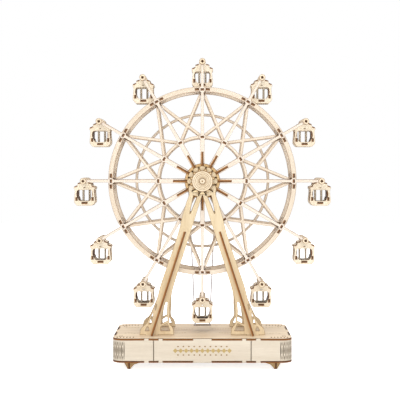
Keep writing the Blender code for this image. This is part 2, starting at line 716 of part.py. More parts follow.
def make_axle(wheel):
    """Round axle from its front cap to the pulley's back."""
    rod = sheet([circle(AXLE_RADIUS, AXLE_SIDES)], -CAP_IN - PLY / 2, PULLEY_BACK, FACING_FRONT)
    cap = sheet([circle(CAP_RADIUS, CAP_SIDES)], -CAP_OUT, -CAP_IN, FACING_FRONT)
    piece("axle", [rod, cap], wheel, EDGE_COLOUR)


def make_wheel_pulley(wheel):
    """Grooved pulley with a sleeve that keeps it clear of the rear frame."""
    hole = AXLE_RADIUS + FIT
    flange = WHEEL_GROOVE_RADIUS + FLANGE_DEPTH
    front = BELT_PLANE - GROOVE_WIDTH / 2
    back = BELT_PLANE + GROOVE_WIDTH / 2
    profile = [(hole, STAR_IN), (PULLEY_SLEEVE_RADIUS, STAR_IN), (PULLEY_SLEEVE_RADIUS, front - PLY),
               (flange, front - PLY), (flange, front), (WHEEL_GROOVE_RADIUS, front),
               (WHEEL_GROOVE_RADIUS, back), (flange, back), (flange, PULLEY_BACK), (hole, PULLEY_BACK)]
    piece("wheel_pulley", turned(profile, PULLEY_SIDES, LYING_FLAT), wheel)


# Gondolas

def cabin_points(shares):
    """Points of a gondola's end sheet from shares of its half width and drop."""
    return [(share_u * CABIN_HALF_WIDTH, -share_v * CABIN_DROP) for share_u, share_v in shares]


def cabin_outline():
    """Ear round the pin, shoulders, eaves, side and chamfered foot."""
    ear = [(EAR_RADIUS * math.sin(share * math.pi), EAR_RADIUS * math.cos(share * math.pi))
           for share in EAR_ANGLE_SHARES]
    right = ear + cabin_points(CABIN_OUTLINE_SHARES)
    return right + mirrored(right)


def gondola_ends():
    """The two end sheets: a wide window in front, and three lights between two bars behind."""
    hole = circle((PIN_SIZE * math.sqrt(2) / 2 + FIT) / math.cos(math.pi / EAR_HOLE_SIDES), EAR_HOLE_SIDES)
    edge = cabin_points(WINDOW_SHARES)
    top = edge[0][1]
    sill = edge[-1][1]
    bar_out = BAR_SPAN / 2 + BAR_WIDTH / 2
    bar_in = BAR_SPAN / 2 - BAR_WIDTH / 2
    side_light = [(bar_out, top)] + edge + [(bar_out, sill)]
    middle_light = [(-bar_in, top), (bar_in, top), (bar_in, sill), (-bar_in, sill)]
    half = CABIN_DEPTH / 2
    front = sheet([cabin_outline(), hole, edge + mirrored(edge)], -half, -half + PLY, FACING_FRONT)
    rear = sheet([cabin_outline(), hole, side_light, mirrored(side_light), middle_light],
                 half - PLY, half, FACING_FRONT)
    return [front, rear]


def gondola_boards():
    """Floor, side walls and the two roof boards, let into the end sheets."""
    length = CABIN_DEPTH - PLY
    floor = -FLOOR_LEVEL_SHARE * CABIN_DROP
    floor_width = 2 * FLOOR_WIDTH_SHARE * CABIN_HALF_WIDTH
    boards = [sheet([box_ring(floor_width, length)], floor - PLY / 2, floor + PLY / 2, LYING_FLAT)]
    wall_top = -WALL_TOP_SHARE * CABIN_DROP
    wall_foot = -WALL_FOOT_SHARE * CABIN_DROP
    wall_place = WALL_PLACE_SHARE * CABIN_HALF_WIDTH
    wall = box_ring(length, wall_top - wall_foot, (0.0, (wall_top + wall_foot) / 2))
    roof_top = Vector((ROOF_TOP_SHARES[0] * CABIN_HALF_WIDTH, 0, -ROOF_TOP_SHARES[1] * CABIN_DROP))
    roof_eave = Vector((ROOF_EAVE_SHARES[0] * CABIN_HALF_WIDTH, 0, -ROOF_EAVE_SHARES[1] * CABIN_DROP))
    slope = roof_eave - roof_top
    lean = math.atan2(-slope.z, slope.x)
    for side in (-1, 1):
        boards.append(sheet([wall], side * wall_place - PLY / 2, side * wall_place + PLY / 2, FACING_SIDE))
        middle = (roof_top + roof_eave) / 2
        middle.x *= side
        place = Matrix.Translation(middle) @ Matrix.Rotation(side * lean, 4, "Y")
        boards.append(sheet([box_ring(slope.length, length)], -ROOF_THICKNESS / 2, ROOF_THICKNESS / 2, place))
    return boards


def make_gondolas(wheel):
    """Twelve gondolas that share a mesh, each on an empty at its own pivot."""
    first = None
    for sector in range(SECTORS):
        angle = sector * SECTOR_ANGLE
        name = f"gondola_{sector + 1:02d}"
        spot = (PIVOT_RADIUS * math.sin(angle), 0.0, PIVOT_RADIUS * math.cos(angle))
        pivot = empty(name + "_pivot", spot, wheel)
        if first is None:
            first = piece(name, gondola_ends() + gondola_boards(), pivot)
        else:
            copy_of(first, name, pivot)


# Drive

def belt_loop(wheel_radius, crank_radius):
    """A closed loop round the two pulleys at the given radii, as (x, z) points."""
    distance = HUB_HEIGHT - CRANK_HEIGHT
    lean = math.asin((wheel_radius - crank_radius) / distance)
    points = []
    for height, radius, first, last, steps in (
            (HUB_HEIGHT, wheel_radius, math.pi / 2 + lean, -math.pi / 2 - lean, PULLEY_SIDES // 2),
            (CRANK_HEIGHT, crank_radius, -math.pi / 2 - lean, -3 * math.pi / 2 + lean, SMALL_PULLEY_SIDES // 2)):
        for step in range(steps + 1):
            angle = first + (last - first) * step / steps
            points.append((radius * math.sin(angle), height + radius * math.cos(angle)))
    return points


def make_belt():
    """Rubber belt round the wheel's pulley and the crank's pulley."""
    clear = FIT / math.cos(math.pi / SMALL_PULLEY_SIDES)
    big = WHEEL_GROOVE_RADIUS / math.cos(math.pi / PULLEY_SIDES) + clear
    small = CRANK_GROOVE_RADIUS / math.cos(math.pi / SMALL_PULLEY_SIDES) + clear
    rings = [belt_loop(big + BELT_THICKNESS, small + BELT_THICKNESS), belt_loop(big, small)]
    band = sheet(rings, BELT_Y - BELT_WIDTH / 2, BELT_Y + BELT_WIDTH / 2, FACING_FRONT)
    piece("drive_belt", band, None, BELT_COLOUR, BELT_ROUGHNESS)


def make_crank_bracket():
    """Plate inside the base that carries the inner end of the crank's shaft."""
    back = BELT_Y - GROOVE_WIDTH / 2 - PLY - BRACKET_GAP
    height = WALL_HEIGHT - 2 * FIT
    rings = [box_ring(BRACKET_WIDTH, height, (0.0, CRANK_HEIGHT)),
             circle(CRANK_SHAFT_RADIUS + FIT, AXLE_SIDES, (0.0, CRANK_HEIGHT))]
    piece("crank_bracket", sheet(rings, back - PLY, back, FACING_FRONT))


def make_crank(crank):
    """Shaft, small pulley, arm and knob, all turning together."""
    front = BELT_Y - GROOVE_WIDTH / 2
    back = BELT_Y + GROOVE_WIDTH / 2
    bracket_front = front - 2 * PLY - BRACKET_GAP
    arm_front = BASE_REAR + CRANK_ARM_GAP
    arm_back = arm_front + CRANK_ARM_THICKNESS
    end = BASE_REAR + CRANK_REACH
    rod = circle(CRANK_SHAFT_RADIUS, AXLE_SIDES)
    piece("crank_shaft", sheet([rod], bracket_front - OVERRUN, arm_back, FACING_FRONT), crank, EDGE_COLOUR)
    hole = CRANK_SHAFT_RADIUS + FIT
    flange = CRANK_GROOVE_RADIUS + FLANGE_DEPTH
    profile = [(hole, front - PLY), (flange, front - PLY), (flange, front), (CRANK_GROOVE_RADIUS, front),
               (CRANK_GROOVE_RADIUS, back), (flange, back), (flange, back + PLY), (hole, back + PLY)]
    piece("crank_pulley", turned(profile, SMALL_PULLEY_SIDES, LYING_FLAT), crank)
    half = CRANK_ARM_WIDTH / 2
    outline = []
    for centre, first in ((0.0, math.pi / 2), (CRANK_ARM_LENGTH, -math.pi / 2)):
        for step in range(ARM_END_STEPS + 1):
            angle = first + math.pi * step / ARM_END_STEPS
            outline.append((centre + half * math.cos(angle), half * math.sin(angle)))
    arm = sheet([outline, circle(hole, AXLE_SIDES)], arm_front, arm_back, FACING_FRONT)
    piece("crank_arm", arm, crank)
    base = arm_back + FIT
    length = end - base
    profile = [(0, base), (KNOB_PIN_RADIUS, base), (KNOB_WAIST_RADIUS, base + KNOB_WAIST_SHARE * length),
               (KNOB_RADIUS, base + KNOB_BELLY_SHARE * length), (KNOB_RADIUS, base + KNOB_CROWN_SHARE * length),
               (KNOB_WAIST_RADIUS, end), (0, end)]
    piece("crank_knob", turned(profile, AXLE_SIDES, Matrix.Translation((CRANK_ARM_LENGTH, 0, 0))), crank)


def main():
    clear_scene()
    make_base_plates()
    make_wall_panels()
    make_bent_wall("base_left_wall", -1)
    make_bent_wall("base_right_wall", 1)
    make_frames()
    make_frame_ribs()
    make_belt()
    make_crank_bracket()
    wheel = empty("wheel_axis", (0.0, WHEEL_Y, HUB_HEIGHT))
    make_wheel_sectors(wheel)
    make_middle_ring(wheel)
    make_spoke_ladders(wheel)
    make_hub(wheel)
    make_axle(wheel)
    make_wheel_pulley(wheel)
    make_gondolas(wheel)
    crank = empty("crank_axis", (0.0, 0.0, CRANK_HEIGHT))
    make_crank(crank)


main()
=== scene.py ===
"""Looks of the hand-cranked ferris wheel toy: laser-cut plywood sheets, tabs and slots, and a rubber belt."""

import json
import math
import random

import bmesh
import bpy
from mathutils import Matrix, Vector
from mathutils.geometry import tessellate_polygon


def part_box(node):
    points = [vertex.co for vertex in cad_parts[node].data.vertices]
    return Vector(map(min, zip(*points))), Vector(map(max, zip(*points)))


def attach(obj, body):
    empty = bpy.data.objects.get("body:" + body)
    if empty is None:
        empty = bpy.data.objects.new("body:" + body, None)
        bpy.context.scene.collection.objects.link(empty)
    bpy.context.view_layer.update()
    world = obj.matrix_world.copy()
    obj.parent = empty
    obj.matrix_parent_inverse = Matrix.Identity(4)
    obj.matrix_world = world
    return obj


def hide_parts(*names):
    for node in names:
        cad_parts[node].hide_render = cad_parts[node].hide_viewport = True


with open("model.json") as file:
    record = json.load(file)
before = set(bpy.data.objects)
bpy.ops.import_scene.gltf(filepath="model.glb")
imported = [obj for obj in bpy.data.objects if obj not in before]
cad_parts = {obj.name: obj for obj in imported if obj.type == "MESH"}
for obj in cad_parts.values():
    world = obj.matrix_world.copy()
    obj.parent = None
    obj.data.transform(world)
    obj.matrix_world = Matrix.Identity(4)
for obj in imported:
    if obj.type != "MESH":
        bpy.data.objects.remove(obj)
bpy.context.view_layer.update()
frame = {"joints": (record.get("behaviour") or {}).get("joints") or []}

# Places that the frame gives
JOINTS = {joint["name"]: joint for joint in frame["joints"]}
HUB = Vector(JOINTS["wheel_spin"]["pos_m"])
CRANK = Vector(JOINTS["crank_turn"]["pos_m"])
PIVOT_RADIUS = (Vector(JOINTS["gondola_01_swing"]["pos_m"]) - HUB).length
PLATE_LOW, PLATE_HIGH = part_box("base_top_plate")
BASE_TOP = PLATE_HIGH.z
BASE_FRONT, BASE_REAR = PLATE_LOW.y, PLATE_HIGH.y
BASE_HALF = PLATE_HIGH.x

# Sheet: thickness, clearance, least step, and the height of an engraved mark
PLY = 0.0020
FIT = 0.0003
SKIN = 0.00005
MARK_HEIGHT = 0.00008

# Width of the smoke stain beside the cuts; on the hub and the star it also paints shadow
HALO = 0.00050
SPOKE_HALO = 0.00030
PANEL_HALO = 0.00045
# Hub and star halos are wide: part smoke stain, part painted shadow round the cap, the discs and the star's
# teeth
HUB_HALO = 0.0008
STAR_HALO = 0.0012
CABIN_FRONT_HALO = 0.00028
CABIN_REAR_HALO = 0.00014
RIB_HALO = 0.0009
BOTTOM_PLATE_HALO = 0.0006
TOP_PLATE_HALO = 0.0008

# Base
WALL_HEIGHT = 0.0230
WALL_TOP = BASE_TOP - PLY
WALL_FOOT = WALL_TOP - WALL_HEIGHT
BASE_FLOOR = WALL_FOOT - PLY
CORNER_RADIUS = 0.0125
CORNER_STEPS = 14
FOOT_INSET_X = 0.0180
FOOT_INSET_Y = 0.0130
FOOT_TOP_WIDTH = 0.0126
FOOT_TIP_WIDTH = 0.0040
FOOT_WING_REACH = 0.0138
FOOT_WING_HEIGHT = 0.0040
FOOT_WING_END = 0.0014
FOOT_CURVE_STEPS = 3
SEAM_GAP = 0.0006
SEAM_SPAN = 0.1080
MIDDLE_TAB_WIDTH = 0.0206
END_TAB_WIDTH = 0.0046
END_TAB_SPAN = 0.0926
WRAP_TAB_WIDTH = 0.0048
WRAP_TAB_SPAN = 0.1240
SIDE_TAB_LENGTH = 0.0230
SIDE_TAB_SPAN = 0.0420

# Wheel
SECTORS = 12
SECTOR = 2 * math.pi / SECTORS
RIM_NODE_RADIUS = 0.1035
RIM_RADIUS = 0.1040
RIM_WIDTH = 0.0054
MIDDLE_RING_RADIUS = 0.0770
INNER_RING_RADIUS = 0.0500
RING_WIDTH = 0.0030
BRACE_WIDTH = 0.0030
TIE_OFFSET = 0.0062
TIE_WIDTH = 0.0064
SLOT_WIDTH = 0.0038
SLOT_GAP = 0.0002
SPOKE_ROOT_RADIUS = 0.0175
SPOKE_ROOT_WIDTH = 0.0050
SPOKE_MIDDLE_WIDTH = 0.0037
SPOKE_TIP_WIDTH = 0.0030
INNER_BOSS_WIDTH = 0.0074
OUTER_BOSS_WIDTH = 0.0072
FIN_INNER_RADIUS = 0.0080
FIN_OUTER_RADIUS = 0.0330
FIN_THICKNESS = 0.0023
HUB_DISC_RADIUS = 0.0200
HUB_NOTCH_DEPTH = 0.0038
AXLE_RADIUS = 0.0030
STAR_TIP_RADIUS = 0.0174
STAR_VALLEY_RADIUS = 0.0119
CAP_RADIUS = 0.0119
CAP_RINGS = ((0.0093, 0.00040), (0.0075, 0.00045), (0.0059, 0.00035), (0.0044, 0.00050))
PIN_SIZE = 0.0020
WASHER_RADIUS = 0.00355
PANEL_CORNER_RADIUS = 0.0008
PANEL_RIM_STEPS = 8
PANEL_RING_STEPS = 6
TOP_HOLE_STEPS = 10
LOW_HOLE_STEPS = 6
NOTCH_ARC_STEPS = 5

# Engraved dot in the middle of the cap
DOT_RADIUS = 0.0009
DOT_TOP_RADIUS = 0.0008
DOT_HEIGHT = 0.0001

# Sides of the round pieces
PIN_SIDES = 4
DOT_SIDES = 20
PIVOT_HOLE_SIDES = 20
WASHER_SIDES = 28
AXLE_SIDES = 32
TURNED_SIDES = 40
SMALL_PULLEY_SIDES = 48
DISC_SIDES = 72
RING_SIDES = 120

# Layers outwards from the wheel's middle plane
RIM_IN = 0.0208
RIM_OUT = RIM_IN + PLY
SPOKE_IN = RIM_OUT + FIT
SPOKE_OUT = SPOKE_IN + PLY
COLLAR_IN = SPOKE_OUT + FIT
COLLAR_OUT = COLLAR_IN + PLY
FRAME_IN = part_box("rear_frame")[0].y - HUB.y
FRAME_OUT = FRAME_IN + PLY
STAR_IN = FRAME_OUT + FIT
STAR_OUT = STAR_IN + PLY
CAP_IN = STAR_OUT + FIT
CAP_OUT = CAP_IN + PLY
BELT_PLANE = 0.0450

# Gondola
CABIN_DEPTH = 0.0230
CABIN_HALF = 0.0120
CABIN_DROP = 0.0283
EAR_RADIUS = 0.00385
CABIN_WALL_PLACE = 0.0092
CABIN_WALL_TAB = 0.0036
CABIN_WALL_TAB_DROP = 0.0206
CABIN_WALL_TOP_DROP = 0.0105
CABIN_WALL_FOOT_DROP = 0.0236
CABIN_FLOOR_TAB = 0.0063
CABIN_FLOOR_DROP = 0.0252
CABIN_FLOOR_HALF = 0.0082
CABIN_BAR_SPAN = 0.0072
CABIN_BAR_WIDTH = 0.0024
CABIN_SLAT_THICKNESS = 0.0014
CREST_SLOT = (0.0018, 0.0010)
CREST_DROP = 0.0077
EAR_STEPS = 8
CABIN_CURVE_STEPS = 3

# A-frames
HEAD_RADIUS = 0.0172
HEAD_VALLEY_RADIUS = 0.0150
HEAD_LOBE_STEPS = 10
HEAD_REACH_STEPS = 35
HEAD_ROUNDNESS = 0.7
LEG_TOP_OFFSET = 0.00135
LEG_SPREAD = 0.0572
LEG_DROP = HUB.z - BASE_TOP
LEG_TAB_WIDTH = 0.0140
RIB_TOP_DROP = 0.0570
RIB_THICKNESS = 0.0024
RIB_TOP_DEPTH = 0.0006
RIB_FOOT_DEPTH = 0.0100
LEG_CORNER_RADIUS = 0.0006

# Drive
BELT_THICKNESS = 0.0015
BELT_WIDTH = 0.0018
BELT_SLOT_WIDTH = 0.0200
BELT_SLOT_DEPTH = 0.0080
WHEEL_GROOVE_RADIUS = 0.0156
CRANK_GROOVE_RADIUS = 0.0070
GROOVE_WIDTH = 0.0026
BELT_STEPS = 24
FLANGE_DEPTH = 0.0029
SLEEVE_RADIUS = 0.0060
CRANK_ARM_LENGTH = 0.0150
CRANK_ARM_WIDTH = 0.0085
CRANK_ARM_GAP = 0.0022
CRANK_ARM_STEPS = 16
KNOB_RADIUS = 0.0040
ROD_EASE = 0.0004
BRACKET_WIDTH = 0.0300
BRACKET_GAP = 0.0040

# A sheet's own axes (across, along, through) in space
UPRIGHT = Matrix(((1, 0, 0, 0), (0, 0, 1, 0), (0, 1, 0, 0), (0, 0, 0, 1)))
SIDEWAYS = Matrix(((0, 0, 1, 0), (1, 0, 0, 0), (0, 1, 0, 0), (0, 0, 0, 1)))
FLAT = Matrix.Identity(4)

# Roof slats of a gondola: place across, drop, width, lean and how far they pass the end sheets
CABIN_SLATS = ((0.0060, 0.0025, 0.0038, 0.35, -FIT), (0.0099, 0.0063, 0.0036, 0.42, SKIN))

# Knob: radii, each with its place along the knob as a share of the knob's length
KNOB_PROFILE = ((0.0020, 0.0), (0.0028, 0.14), (0.0031, 0.30), (0.0037, 0.48), (KNOB_RADIUS, 0.68),
                (0.0038, 0.86), (0.0028, 0.97), (0.0012, 1.0))

# Outlines as shares of the size that they follow
STAR_TOOTH_SHARES = ((-0.46, 0.84), (-0.40, 0.56), (-0.33, 0.29), (-0.20, 0.04), (0.0, 0.0), (0.20, 0.04),
                     (0.33, 0.29), (0.40, 0.56), (0.46, 0.84), (0.5, 1.0))
EAR_TURN_SHARE = 0.62
EAVE_SHARES = ((0.40, 0.105), (0.66, 0.115), (0.68, 0.185), (0.80, 0.215), (1.02, 0.255), (1.02, 0.305),
               (0.95, 0.330))
CABIN_SIDE_SHARES = ((0.925, 0.42), (0.945, 0.56), (0.985, 0.70), (0.995, 0.80), (0.97, 0.87), (0.84, 0.945),
                     (0.70, 1.00))
WINDOW_SHARES = ((0.55, 0.360), (0.63, 0.372), (0.71, 0.412), (0.75, 0.475), (0.76, 0.545), (0.74, 0.605),
                 (0.66, 0.660), (0.61, 0.700), (0.585, 0.745), (0.52, 0.790), (0.43, 0.812))
LEG_OUTER_SHARES = ((0.277, 0.052), (0.262, 0.080), (0.283, 0.109), (0.315, 0.137), (0.352, 0.180),
                    (0.402, 0.235), (0.488, 0.348), (0.670, 0.525), (0.818, 0.667), (0.878, 0.741),
                    (0.923, 0.790), (0.984, 0.839), (1.054, 0.893), (1.110, 0.927), (1.168, 0.942),
                    (1.208, 0.957), (1.226, 0.970), (1.240, 1.000))
LEG_INNER_SHARES = ((0.565, 1.000), (0.567, 0.980), (0.575, 0.962), (0.603, 0.945), (0.629, 0.937),
                    (0.650, 0.923), (0.657, 0.901), (0.650, 0.877), (0.645, 0.839), (0.642, 0.790),
                    (0.610, 0.736), (0.547, 0.660))
FORK_SHARE = 0.086
LEG_SLIT_SHARES = ((0.100, 0.098), (0.176, 0.092), (0.252, 0.210), (0.236, 0.210))
LEG_NICK_SHARES = ((0.896, 0.800), (0.914, 0.800), (0.940, 0.838), (0.922, 0.838))
TOWER_GAP_SHARES = ((0.690, 0.786), (0.722, 0.786), (0.780, 0.845), (0.802, 0.879), (0.820, 0.930),
                    (0.688, 0.908), (0.705, 0.850))
TOWER_ARCH_SHARES = ((0.825, 0.974), (0.636, 0.974), (0.698, 0.925), (0.825, 0.948))
OUTER_GAP_SHARES = ((0.972, 0.854), (0.984, 0.886), (1.002, 0.917), (1.014, 0.929), (1.059, 0.931),
                    (1.037, 0.914), (1.010, 0.886))
OUTER_ARCH_SHARES = ((1.136, 0.974), (1.050, 0.974), (1.070, 0.947), (1.096, 0.947))
LEG_OPENINGS = (LEG_SLIT_SHARES, LEG_NICK_SHARES, TOWER_GAP_SHARES, TOWER_ARCH_SHARES, OUTER_GAP_SHARES,
                OUTER_ARCH_SHARES)
FOOT_SHOULDER_SHARES = (0.80, 0.66)
FOOT_ANKLE_SHARES = (1.25, 0.16)
FOOT_WING_SHARE = 0.92

# Finishes: scales count per metre of sheet
FIBRE_SCALE = 900.0
STREAK_SCALE = 110.0
PORE_SCALE = 2600.0
GRAIN_STRETCH = 0.06
GRAIN_ROUGHNESS = 0.55
BOARDS_APART = 7.0
STREAK_SHARE = 0.62
TONE_SHARE = 0.30
PORE_DARKNESS = 0.35
PORE_DEPTH = -0.8
PORE_RANGE = (0.66, 0.78)
STREAK_RANGE = (0.30, 0.70)
FIBRE_RANGE = (0.30, 0.72)
STAIN_SCALE = 260.0
STAIN_REACH = 1.6
STAIN_FADING = (0.3, 0.7, 1.3, 0.5)
CHAR_SCALE = 180.0
STROKE_SCALE = 2200.0
STROKE_STRETCH = 0.15
STROKE_SHARE = 0.35
PATCH_SHARE = 0.5
CHAR_LEVEL = 0.17
CHAR_SLOPE = (0.05, 0.95, -0.25, 0.75)
GLUE_PLACE = 0.17
GLUE_LINE = (0.0, 0.05, 0.35, 0.0)
RUBBER_SCALE = 700.0
FLECK_SCALE = 1500.0
BUMP_DEPTH = 0.0001
SMOKE = (0.26, 0.135, 0.05)
SHARP_ANGLE = math.radians(35)

chance = random.Random(12)


# Scene and node helpers

def linked(name, data):
    """An object in the scene's own collection."""
    made = bpy.data.objects.new(name, data)
    bpy.context.scene.collection.objects.link(made)
    return made


def feed(tree, node, inputs):
    """Set a node's inputs, each to a value or to another node's output socket."""
    for key, value in inputs.items():
        socket = node.inputs[key]
        if isinstance(value, bpy.types.NodeSocket):
            tree.links.new(value, socket)
        else:
            socket.default_value = value


def add(tree, kind, inputs=None, **settings):
    """Add a node with its settings and its inputs."""
    made = tree.nodes.new(kind)
    for key, value in settings.items():
        setattr(made, key, value)
    feed(tree, made, inputs or {})
    return made


def maths(tree, operation, first, second=0.5, third=0.5):
    """One sum; clamps nothing."""
    return add(tree, "ShaderNodeMath", {0: first, 1: second, 2: third}, operation=operation).outputs[0]


def blended(tree, amount, first, second, blend="MIX"):
    """Mix of two colours."""
    made = add(tree, "ShaderNodeMix", {0: amount, 6: first, 7: second}, data_type="RGBA", blend_type=blend)
    return made.outputs[2]


def ranged(tree, value, low, high, start=0.0, end=1.0):
    """The value's way from low to high, as a number from start to end that stays between them."""
    return add(tree, "ShaderNodeMapRange", {0: value, 1: low, 2: high, 3: start, 4: end}).outputs[0]


def clamped(tree, value):
    return add(tree, "ShaderNodeClamp", {0: value}).outputs[0]


def noise(tree, spot, scale, detail, roughness=0.5):
    inputs = {"Vector": spot, "Scale": scale, "Detail": detail, "Roughness": roughness}
    return add(tree, "ShaderNodeTexNoise", inputs).outputs[0]


def bump(tree, height, strength):
    """A normal for a skin that is nowhere deeper than the bump depth."""
    inputs = {"Strength": strength, "Distance": BUMP_DEPTH, "Height": height}
    return add(tree, "ShaderNodeBump", inputs).outputs[0]


def opaque(colour):
    return (*colour, 1.0)


def new_group(name, kind, takes, gives):
    """A node group with named inputs and outputs: its tree, what it takes and its end node."""
    group = bpy.data.node_groups.new(name, kind)
    for direction, sockets in (("INPUT", takes), ("OUTPUT", gives)):
        for title, socket_type, *default in sockets:
            made = group.interface.new_socket(title, in_out=direction, socket_type="NodeSocket" + socket_type)
            if default:
                made.default_value = default[0]
    start = group.nodes.new("NodeGroupInput")
    end = group.nodes.new("NodeGroupOutput")
    return group, start.outputs, end


def make_grain_group():
    """Rotary-cut basswood: long soft streaks, fine fibres and short pores along the second axis."""
    group, take, end = new_group("Basswood grain", "ShaderNodeTree", (
        ("Vector", "Vector"), ("Shift", "Float", 0.0), ("Light", "Color"), ("Dark", "Color"),
        ("Fibre scale", "Float", FIBRE_SCALE)), (("Color", "Color"), ("Height", "Float")))
    split = add(group, "ShaderNodeSeparateXYZ", {0: take["Vector"]}).outputs
    along = maths(group, "MULTIPLY", split[1], GRAIN_STRETCH)
    depth = maths(group, "MULTIPLY", take["Shift"], BOARDS_APART)
    spot = add(group, "ShaderNodeCombineXYZ", {0: split[0], 1: along, 2: depth}).outputs[0]
    fibres = noise(group, spot, take["Fibre scale"], 4.0, GRAIN_ROUGHNESS)
    streaks = noise(group, spot, STREAK_SCALE, 2.0, GRAIN_ROUGHNESS)
    pores = ranged(group, noise(group, spot, PORE_SCALE, 1.0, GRAIN_ROUGHNESS), *PORE_RANGE)
    spread = ranged(group, streaks, *STREAK_RANGE)
    fine = maths(group, "MULTIPLY", ranged(group, fibres, *FIBRE_RANGE), 1 - STREAK_SHARE)
    amount = maths(group, "MULTIPLY_ADD", spread, STREAK_SHARE, fine)
    toned = maths(group, "ADD", amount, maths(group, "MULTIPLY", take["Shift"], TONE_SHARE))
    colour = blended(group, toned, take["Light"], take["Dark"])
    darkened = maths(group, "MULTIPLY", pores, PORE_DARKNESS)
    feed(group, end, {"Color": blended(group, darkened, colour, take["Dark"], "MULTIPLY"),
                      "Height": maths(group, "MULTIPLY_ADD", pores, PORE_DEPTH, fibres)})
    return group


def make_scorch_group():
    """Brown smoke stain that fades from a cut line, uneven along it."""
    group, take, end = new_group("Laser stain", "ShaderNodeTree", (
        ("Vector", "Vector"), ("Near cut", "Float", 0.0), ("Strength", "Float", 1.0)), (("Amount", "Float"),))
    fading = ranged(group, noise(group, take["Vector"], STAIN_SCALE, 3.0), *STAIN_FADING)
    near = clamped(group, maths(group, "MULTIPLY", take["Near cut"], STAIN_REACH))
    fade = maths(group, "POWER", near, fading)
    feed(group, end, {"Amount": maths(group, "MULTIPLY", fade, take["Strength"])})
    return group


def make_char_group():
    """Laser-cut edge: browned layers across the thickness with fine strokes through it."""
    group, take, end = new_group("Charred layers", "ShaderNodeTree", (
        ("Vector", "Vector"), ("Thickness", "Float", PLY), ("Lit", "Color"), ("Burnt", "Color")),
        (("Color", "Color"), ("Height", "Float")))
    split = add(group, "ShaderNodeSeparateXYZ", {0: take["Vector"]}).outputs
    share = maths(group, "DIVIDE", split[1], take["Thickness"])
    across = maths(group, "MULTIPLY", split[1], STROKE_STRETCH)
    strokes_at = add(group, "ShaderNodeCombineXYZ", {0: split[0], 1: across}).outputs[0]
    strokes = noise(group, strokes_at, STROKE_SCALE, 2.0)
    patches = noise(group, take["Vector"], CHAR_SCALE, 2.0)
    slope = ranged(group, share, *CHAR_SLOPE)
    worn = maths(group, "ADD", slope, maths(group, "MULTIPLY", patches, PATCH_SHARE))
    levelled = maths(group, "SUBTRACT", worn, CHAR_LEVEL)
    amount = maths(group, "MULTIPLY_ADD", strokes, STROKE_SHARE, levelled)
    from_middle = maths(group, "ABSOLUTE", maths(group, "SUBTRACT", share, 0.5))
    from_glue = maths(group, "ABSOLUTE", maths(group, "SUBTRACT", from_middle, GLUE_PLACE))
    line = ranged(group, from_glue, *GLUE_LINE)
    full = clamped(group, maths(group, "ADD", amount, line))
    feed(group, end, {"Color": blended(group, full, take["Lit"], take["Burnt"]), "Height": strokes})
    return group


GRAIN = make_grain_group()
STAIN = make_scorch_group()
CHAR = make_char_group()


def new_material(name, roughness, specular=0.3):
    """A plain material, its tree and its shader."""
    material = bpy.data.materials.new(name)
    material.use_nodes = True
    tree = material.node_tree
    shader = tree.nodes["Principled BSDF"]
    feed(tree, shader, {"Roughness": roughness, "Specular IOR Level": specular})
    return material, tree, shader


def sheet_spot(tree):
    """The sheet's own map, which is in metres."""
    return add(tree, "ShaderNodeUVMap", uv_map="sheet").outputs[0]


def object_spot(tree):
    return add(tree, "ShaderNodeTexCoord").outputs["Object"]


def stored(tree, name):
    """A number that the mesh stores under a name."""
    return add(tree, "ShaderNodeAttribute", attribute_name=name).outputs["Fac"]


def ply_face(name, light, dark, stain=0.75, smoke=SMOKE):
    """The sheet's face: grain that differs from board to board, stain beside the cuts and a fine bump."""
    material, tree, shader = new_material(name, 0.62)
    spot = sheet_spot(tree)
    shift = maths(tree, "ADD", stored(tree, "tone"), stored(tree, "copy_tone"))
    grain = add(tree, "ShaderNodeGroup", {"Vector": spot, "Shift": shift, "Light": opaque(light),
                                          "Dark": opaque(dark)}, node_tree=GRAIN).outputs
    halo = add(tree, "ShaderNodeGroup", {"Vector": spot, "Near cut": stored(tree, "scorch"),
                                         "Strength": stain}, node_tree=STAIN).outputs[0]
    feed(tree, shader, {"Base Color": blended(tree, halo, grain["Color"], opaque(smoke)),
                        "Roughness": maths(tree, "MULTIPLY_ADD", grain["Height"], 0.12, 0.56),
                        "Normal": bump(tree, grain["Height"], 0.25)})
    return material


def cut_edge(name, lit, burnt):
    """The laser-cut edge of a sheet."""
    material, tree, shader = new_material(name, 0.8)
    char = add(tree, "ShaderNodeGroup", {"Vector": sheet_spot(tree), "Thickness": PLY, "Lit": opaque(lit),
                                         "Burnt": opaque(burnt)}, node_tree=CHAR).outputs
    feed(tree, shader, {"Base Color": char["Color"], "Normal": bump(tree, char["Height"], 0.35)})
    return material


def belt_rubber(name, clean, dusty):
    """Grey moulded rubber with a dusty, slightly uneven skin."""
    material, tree, shader = new_material(name, 0.7)
    dust = noise(tree, object_spot(tree), RUBBER_SCALE, 4.0)
    feed(tree, shader, {"Base Color": blended(tree, dust, opaque(clean), opaque(dusty)),
                        "Roughness": maths(tree, "MULTIPLY_ADD", dust, 0.25, 0.55),
                        "Normal": bump(tree, dust, 0.2)})
    return material


def turned_wood(name, light, dark):
    """Turned beech for the axle, the shaft and the knob, with the grain along Y."""
    material, tree, shader = new_material(name, 0.5)
    split = add(tree, "ShaderNodeSeparateXYZ", {0: object_spot(tree)}).outputs
    across = maths(tree, "ADD", split[0], split[2])
    lying = add(tree, "ShaderNodeCombineXYZ", {0: across, 1: split[1]}).outputs[0]
    grain = add(tree, "ShaderNodeGroup", {"Vector": lying, "Light": opaque(light), "Dark": opaque(dark)},
                node_tree=GRAIN).outputs
    feed(tree, shader, {"Base Color": grain["Color"], "Normal": bump(tree, grain["Height"], 0.2)})
    return material


def burnt_mark(name, deep, pale):
    """Shallow engraving with lighter flecks."""
    material, tree, shader = new_material(name, 0.85)
    flecks = noise(tree, object_spot(tree), FLECK_SCALE, 3.0)
    feed(tree, shader, {"Base Color": blended(tree, flecks, opaque(deep), opaque(pale)),
                        "Normal": bump(tree, flecks, 0.3)})
    return material


